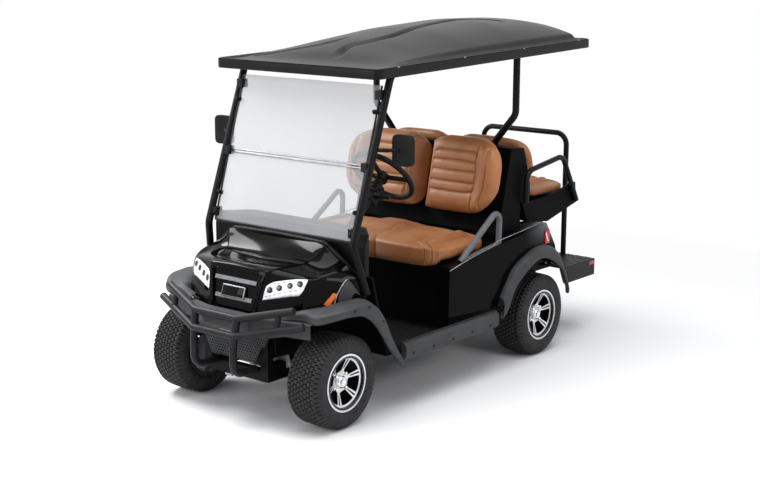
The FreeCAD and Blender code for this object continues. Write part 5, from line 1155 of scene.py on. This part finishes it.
def cowl_normal(across, along):
    """Outward unit normal of the hood at a place."""
    return on_cowl(across, along, 1.0) - on_cowl(across, along, 0.0)


def hood_patch(columns, low, high, proud):
    """A grid laid on the hood between two lines, each a row share for every column share."""
    share = np.linspace(0, 1, 12)
    return np.array([[on_cowl(c, a + (b - a) * t, proud) for t in share]
                     for c, a, b in zip(columns, low, high)])


print("hood normal at the lamp", cowl_normal(2.5, 1.7).round(3))

# %% [markdown]
# ## Head lamps
# Each head lamp is a clear cover over a white reflector: four projector lenses stand in a
# row, dark because they look into the housing, each in a bright ring, with short light
# guides above and below. The cover is a patch of the hood's own curve between two lines, so
# it sits flush and its edge is smooth.

# %% Head lamps
LAMP_LOW = np.array([(2.00, 1.02), (2.93, 0.93), (2.99, 1.02), (3.05, 1.29)])
LAMP_HIGH = np.array([(2.00, 1.84), (2.06, 2.02), (2.21, 2.21), (2.71, 2.42), (2.95, 2.40), (3.03, 2.20),
                      (3.05, 1.60)])
RING = [(-0.004, 0.0180), (0.0016, 0.0180), (0.0024, 0.0172), (0.0016, 0.0160)]
LENS_FACE = [(-0.003, 0.0158), (0.0022, 0.0158), (0.0036, 0.0136), (0.0046, 0.0085), (0.0050, 0.0036)]
PROUD = 0.0012  # metres that the cover and the rings stand off the hood
across = np.linspace(2.0, 3.05, 26)
cover = hood_patch(across, np.interp(across, *LAMP_LOW.T), np.interp(across, *LAMP_HIGH.T), PROUD)
covers = piece("lamp_covers", *twin(cover), lamp_white)
thicken(covers, 0.0030)
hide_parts("head_lamps")
rings, lenses, guides = [], [], []
for k in range(4):
    place = (2.17 + 0.225 * k, 1.62 + 0.055 * k)
    spot, out = on_cowl(*place, PROUD), cowl_normal(*place)
    rings.append(lathe(RING, spot, out, 32))
    lenses.append(lathe(LENS_FACE, spot, out, 32))
for k in range(7):
    for first, rise in (((2.10, 1.22), 0.012), ((2.22, 2.06), 0.030)):
        place = (first[0] + 0.115 * k, first[1] + rise * k)
        ahead = on_cowl(place[0] + 0.04, place[1] + rise * 0.35, 0) - on_cowl(*place, 0)
        ahead /= np.linalg.norm(ahead)
        out = cowl_normal(*place)
        out = out - ahead * (out @ ahead)
        out /= np.linalg.norm(out)
        turned = np.stack([ahead, out, np.cross(out, ahead)])
        guides.append(block(on_cowl(*place, 0.0014), (0.0080, 0.0010, 0.0014), 0.0007, turned))
for name, parts, coat in (("lamp_rings", rings, chrome), ("lamp_lenses", lenses, dark_lens),
                          ("lamp_guides", guides, bar_grey)):
    piece(name, *joined(both(parts)), coat)
print("lamp optics", len(rings), len(guides))

# %% [markdown]
# ## Nose plate
# Under the lamps the nose carries a plate in a satin rim between the two bars. It is left
# blank, and leans with the panel behind it.

# %% Nose plate
plate_axes = np.array([(1, 0, 0), (0, -0.955, 0.297), (0, 0.297, 0.955)], float)
fascia_low, fascia_high = (np.array(corner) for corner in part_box("front_fascia"))
plate_at = np.array([0, fascia_low[1] + 0.018, (fascia_low[2] + fascia_high[2]) / 2 - 0.010])
rim_part = block(plate_at, (0.076, 0.004, 0.030), 0.0039, plate_axes)
blank_part = block(plate_at + plate_axes[1] * 0.0012, (0.0715, 0.004, 0.0255), 0.0039, plate_axes)
piece("nose_plate_rim", *rim_part, zinc)
piece("nose_plate_blank", *blank_part, gloss_paint)
print("nose plate at", plate_at.round(3))

# %% [markdown]
# ## Punched sheet
# The lower opening is closed by a sheet punched in a press. Each hole is built as a hexagon
# of struts, so that light passes through as on the real one; a picture of holes would not
# show their depth.

# %% Punched sheet
STRUT, CELL = 0.0019, 0.0165  # metres: half a strut's width, and from hole to hole


def punched(columns, rows, centre, half_low, half_high):
    """Hexagon cells in a staggered array, each a ring of six struts, kept inside a tapering outline."""
    i, j = np.meshgrid(np.arange(-columns, columns + 1), np.arange(-rows, rows + 1), indexing="ij")
    x, z = (i + 0.5 * (j % 2)) * CELL, j * CELL * 0.866
    share = (j + rows) / (2 * rows)
    keep = np.abs(x) < half_low + (half_high - half_low) * share
    spots = np.stack([x[keep], np.zeros(keep.sum()), z[keep]], 1) + centre
    angle = np.radians(np.arange(6) * 60 + 30)
    ring = np.stack([np.cos(angle), 0 * angle, np.sin(angle)], 1)
    outer, inner = CELL / math.sqrt(3), CELL / math.sqrt(3) - STRUT * 2
    layers = np.concatenate([ring * outer, ring * inner, ring * inner + [0, 0.003, 0]])
    points = (spots[:, None] + layers[None]).reshape(-1, 3)
    k = np.arange(6)
    one = np.concatenate([np.stack([k, (k + 1) % 6, 6 + (k + 1) % 6, 6 + k], 1),
                          np.stack([6 + k, 6 + (k + 1) % 6, 12 + (k + 1) % 6, 12 + k], 1)])
    quads = (np.arange(len(spots))[:, None, None] * 18 + one[None]).reshape(-1, 4)
    return points, quads


grille_low, grille_high = (np.array(corner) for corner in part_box("lower_grille"))
grille_at = np.array([0, grille_low[1] - 0.004, (grille_low[2] + grille_high[2]) / 2 - 0.030])
points, quads = punched(15, 5, grille_at, 0.150, 0.245)
piece("punched_sheet", points, quads, grey_plastic, smooth=False)
print("punched sheet", len(quads))

# %% [markdown]
# ## Behind the nose
# Behind the nose's openings there is a dark liner, cheeks beside them, bracket plates for the
# steering rack and a splash panel behind those. Without them white floor would show through.

# %% Behind the nose
edge = cowl_points[0]
edge = edge[np.abs(edge[:, 0]) < 0.46]
liner = np.stack([edge * [0.97, 1, 1] + [0, 0.014, 0.004], edge * [0.97, 0, 1] + [0, -0.90, 0.004]], 1)
liner = through(liner, 2, 1)
faces = grid_faces(*liner.shape[:2])
piece("nose_liner", liner.reshape(-1, 3), faces, shell_plastic_painted_shade)
plate_turn = np.array([(0.942, 0, 0.336), (0, -1, 0), (-0.336, 0, 0.942)])
plates = both([block((0.178, -1.060, 0.270), (0.066, 0.002, 0.031), 0.0018, plate_turn)])
piece("rack_bracket_plates", *joined(plates), primer)
splash = block((0, -0.850, 0.236), (0.200, 0.003, 0.064), 0.0025)
piece("splash_panel", *splash, shell_plastic_painted_shade)
cheeks = [block((0, -1.183, 0.524), (0.110, 0.003, 0.026), 0.0025)]
cheeks += both([block((0.262, -1.156, 0.448), (0.004, 0.032, 0.094), 0.003)])
piece("nose_cheeks", *joined(cheeks), shell_plastic_painted_shade)
print("liner", liner.shape[:2], "plates", len(plates), "cheeks", len(cheeks))

# %% [markdown]
# ## Valance
# The valance carries a round screw cover and a light strip. Below, its apron curls back under
# the nose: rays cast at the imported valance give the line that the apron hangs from.

# %% Valance
valance_low = np.array(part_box("front_valance")[0])
LID = [(-0.002, 0.0135), (0.003, 0.0135), (0.0045, 0.012), (0.0040, 0.0095), (0.0052, 0.0085),
       (0.0056, 0.003)]
cover = lathe(LID, (0.190, valance_low[1] + 0.044, 0.493), (0.25, -0.95, 0.15), 32)
piece("valance_cover", *cover, grey_plastic)
APRON_HALF, APRON_DROP = 0.38, 0.052  # metres
spans = np.linspace(-APRON_HALF, APRON_HALF, 39)
front = np.array([nodes["front_valance"].ray_cast((x, -2.0, 0.476), (0, 1, 0))[1][1] for x in spans])
fall = APRON_DROP * (1 - (np.abs(spans) / APRON_HALF) ** 3)
apron = [np.stack([spans, front + 0.0008 + 0.030 * t * t, 0.474 - fall * t], 1)
         for t in np.linspace(0, 1, 8)]
apron = np.array(apron + [apron[-1] + [0, 0.012, 0.002]])
made = piece("valance_apron", apron.reshape(-1, 3), grid_faces(*apron.shape[:2])[:, ::-1], grey_plastic)
thicken(made, 0.0030)
strip = block((0, front[len(front) // 2] + 0.0125, 0.441), (0.052, 0.0030, 0.0050), 0.002)
piece("valance_strip", *strip, bar_grey)
print("apron", apron.shape[:2])

# %% [markdown]
# ## Side mouldings of the cowl
# At the cowl's side a bright moulding curves down from the screen in front of a grey panel.
# The moulding is a rod along places on the hood, and the panel another patch of it.

# %% Side mouldings of the cowl
MOULDING = np.array([(5.06, 4.05), (5.12, 3.14), (5.08, 2.29), (5.00, 1.71), (4.93, 1.21), (5.04, 0.98)])
route = (np.interp(np.linspace(0, 5, 26), np.arange(6), column) for column in MOULDING.T)
curve = np.array([on_cowl(across, along, 0.0022) for across, along in zip(*route)])
piece("cowl_mouldings", *joined(both([rod(curve, 0.0026, 8)])), zinc)
across = np.linspace(5.13, 5.94, 14)
panel = hood_patch(across, np.full(14, 0.98), 4.02 + 0.45 * (across - 5.13), 0.0010)
piece("cowl_side_panels", *twin(panel), grey_plastic)
print("cowl moulding from", curve[0].round(3), "to", curve[-1].round(3))

# %% [markdown]
# ## Side trim, bolts and sills
# A bright line runs along the top of each side panel and steps up where the hip arm ends.
# Flares and sills are held by domed screws, and the sill has a ribbed rubber strip on top.

# %% Side trim, bolts and sills
SIDE_LINE = [(-0.214, 0.636), (-0.039, 0.671), (0.143, 0.698), (0.180, 0.704), (0.198, 0.720),
             (0.427, 0.741), (0.640, 0.762)]
FLARE_SCREWS = ((-1.010, 0.590), (-0.905, 0.590), (-0.800, 0.500), (-0.722, 0.345), (-0.662, 0.262))
side_high = np.array(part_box("rear_body")[1])
line = np.array([(side_high[0] + 0.001, y, z) for y, z in SIDE_LINE])
piece("side_lines", *joined(both([rod(line, 0.0026, 8)])), zinc)

heads = [bolt((0.611, y, z), (1, 0, 0), 0.0055) for y, z in FLARE_SCREWS]
sill_low, sill_high = (np.array(corner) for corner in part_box("sills"))
for y in np.linspace(sill_low[1] + 0.06, sill_high[1] - 0.08, 5):
    heads.append(bolt((sill_high[0] + 0.0005, y, sill_low[2] + 0.030), (1, 0, 0), 0.0060))
piece("panel_screws", *joined(both(heads)), powder_coat)
sill_middle, sill_half = (sill_low[1] + sill_high[1]) / 2, (sill_high[1] - sill_low[1]) / 2 - 0.012
ribs = [block((sill_high[0] - 0.016 - 0.007 * k, sill_middle, sill_high[2] + 0.0012),
              (0.0022, sill_half, 0.0016), 0.0008) for k in range(3)]
piece("sill_strips", *joined(both(ribs)), rubber)
print("screws", len(heads) * 2, "side line ends", line[0].round(3), line[-1].round(3))

# %% [markdown]
# ## Windscreen fittings
# The two acrylic panes meet in a pair of extruded rails that let the upper one fold down.
# Black rubber strips edge the panes, and three clamps a side with turning knobs hold the
# screen to the struts.

# %% Windscreen fittings
SCREEN_UP = np.array([0, 0.2990, 0.9543])
SCREEN_OUT = np.array([0, -0.9543, 0.2990])
SCREEN_AXES = np.stack([[1.0, 0, 0], SCREEN_OUT, SCREEN_UP])
SCREEN_FOOT, SCREEN_LEAN = (-0.860, 0.872), 0.3133  # y and z of the foot; metres back to a metre up
KNOB = [(0.0, 0.0085), (0.006, 0.0100), (0.013, 0.0100), (0.016, 0.0080), (0.0165, 0.003)]


def on_screen(x, high, proud=0.0):
    """A place on the leaning screen at a width and a height."""
    back = SCREEN_FOOT[0] + (high - SCREEN_FOOT[1]) * SCREEN_LEAN
    return np.array([x, back, high]) + SCREEN_OUT * proud


rails = [block(on_screen(0, high), (0.459, 0.0055, 0.0045), 0.0020, SCREEN_AXES)
         for high in (1.2175, 1.2300)]
piece("screen_rails", *joined(rails), zinc)
edges = []
for low, high in ((0.874, 1.210), (1.238, 1.604)):
    tall = (high - low) / 2 / SCREEN_UP[2]
    edges.append(block(on_screen(0.4605, (low + high) / 2), (0.0040, 0.0045, tall), 0.0015, SCREEN_AXES))
edges = both(edges) + [block(on_screen(0, 0.8745), (0.460, 0.0050, 0.0045), 0.0020, SCREEN_AXES)]
piece("screen_edge_strips", *joined(edges), rubber)
clamps, knobs = [], []
for high in (0.905, 1.010, 1.480):
    clamps.append(block(on_screen(0.458, high, 0.006), (0.016, 0.005, 0.011), 0.003, SCREEN_AXES))
    knobs.append(lathe(KNOB, on_screen(0.458, high, 0.010), SCREEN_OUT, 10))
piece("screen_clamps", *joined(both(clamps + knobs)), black_plastic)
print("screen fittings", len(rails) + len(edges) + 2 * len(clamps))

# %% [markdown]
# ## Steering, mirrors and tail lamps
# Behind the wheel a moulded housing in two halves holds the direction switch and two stalks.
# Each mirror has a silvered glass let into its shell, and each tail lamp a clear strip.

# %% Steering housing, mirror glass and tail lamps
COLUMN_UP = np.array([0, 0.7345, 0.6786])
COLUMN_SIDE = np.array([0, -0.6786, 0.7345])
COLUMN_AXES = np.stack([[1.0, 0, 0], COLUMN_SIDE, COLUMN_UP])
SWITCH_LID = [(0, 0.012), (0.010, 0.012), (0.012, 0.010), (0.012, 0.006)]
hub = np.array([0.300, -0.430, 1.124])
below = hub - COLUMN_UP * 0.082
stalk = [below + [-0.03, 0, 0], below + [-0.080, -0.010, 0.004], below + [-0.120, -0.012, 0.010]]
parts = [block(below, (0.036, 0.030, 0.030), 0.009, COLUMN_AXES),
         block(below - COLUMN_SIDE * 0.012 - COLUMN_UP * 0.052, (0.030, 0.034, 0.026), 0.008, COLUMN_AXES),
         block(below + [0.052, 0, 0] - COLUMN_UP * 0.030, (0.024, 0.019, 0.022), 0.006, COLUMN_AXES),
         block(below + [0.098, 0, 0] - COLUMN_UP * 0.034, (0.020, 0.012, 0.013), 0.005, COLUMN_AXES),
         rod(stalk, 0.0055, 10),
         lathe(SWITCH_LID, below - COLUMN_SIDE * -0.030 + [0.016, 0, 0], COLUMN_SIDE, 20)]
piece("column_housing", *joined(parts), black_plastic)
mirror_high = np.array(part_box("mirrors")[1])
glass = [block((0.601, mirror_high[1] + 0.0006, 1.306), (0.051, 0.0016, 0.067), 0.0014)]
piece("mirror_glasses", *joined(both(glass)), chrome)
lamp_low, lamp_high = (np.array(corner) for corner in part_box("tail_lamps"))
tilt = np.array([0.0, 0.42, -0.91])
lean = np.stack([[1.0, 0, 0], np.cross(tilt, [1.0, 0, 0]), tilt])
middle = (lamp_low + lamp_high) / 2
middle[0] = lamp_high[0] + 0.0002
clear = [block(middle - [0, 0.008, 0], (0.0012, 0.0045, 0.028), 0.0010, lean)]
piece("tail_lamp_strips", *joined(both(clear)), lamp_white)
print("housing parts", len(parts))

# %% [markdown]
# ## Step plate
# The rear step is pressed tread plate: short bars in two directions, each a low rod that
# dies into the plate. A ray cast down gives the height of the plate. Reflectors stand at
# its rear corners.

# %% Step plate
step_low, step_high = (np.array(corner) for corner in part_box("step_plate"))
step_top = nodes["step_plate"].ray_cast((0.1, 1.2, 1.0), (0, 0, -1))[1][2]
BAR_PITCH, BAR_REACH = 0.030, 0.009  # metres from bar to bar, and half a bar's length each way
bars = []
for i in range(33):
    for j in range(10):
        x, y, t = -0.480 + BAR_PITCH * i, 1.062 + BAR_PITCH * j, BAR_REACH * (1 if (i + j) % 2 == 0 else -1)
        ends = (x - t, y - BAR_REACH, step_top), (x + t, y + BAR_REACH, step_top)
        bars.append(rod([ends[0], (x, y, step_top + 0.0007), ends[1]], 0.0020, 6))
piece("tread_plate_bars", *joined(bars), powder_coat)
reflector = [block((step_high[0] + 0.0006, 1.322, step_high[2] - 0.026), (0.0018, 0.028, 0.011), 0.0012)]
piece("step_reflectors", *joined(both(reflector)), red)
print("bars", len(bars), "step top", round(step_top, 4), "width", round(step_high[0] - step_low[0], 3))

# %% [markdown]
# ## Floor mat and canopy clips
# The floor has a ribbed rubber mat. Each rib is a rod laid on heights that rays find on the
# packed floor, so that it climbs where the floor climbs. Small clips stand on the canopy's rim.

# %% Floor mat and canopy clips
mat_ribs = []
for x in np.linspace(-0.50, 0.50, 61):
    line = []
    for y in np.linspace(-0.600, -0.175, 12):
        hit, spot, *rest = nodes["floor"].ray_cast((x, y, 0.45), (0, 0, -1))
        if hit and spot[2] < 0.40:
            line.append((x, y, spot[2] + 0.0006))
    if len(line) > 3:
        mat_ribs.append(rod(line, 0.0020, 6, 0.7))
piece("floor_mat_ribs", *joined(mat_ribs), rubber)

CLIP_PLACES = [(-0.43, -0.752), (0.02, -0.752), (0.467, -0.752)]
CLIP_PLACES += [(x, y) for x in (0.532, -0.532) for y in (-0.60, -0.06, 0.48, 1.04)]
clips = []
for x, y in CLIP_PLACES:
    high = 1.6905 + (y + 0.761) * 0.0262
    clips.append(block((x, y, high + 0.001), (0.008, 0.006, 0.003), 0.0015))
piece("canopy_clips", *joined(clips), zinc)
print("ribs", len(mat_ribs), "clips", len(clips))
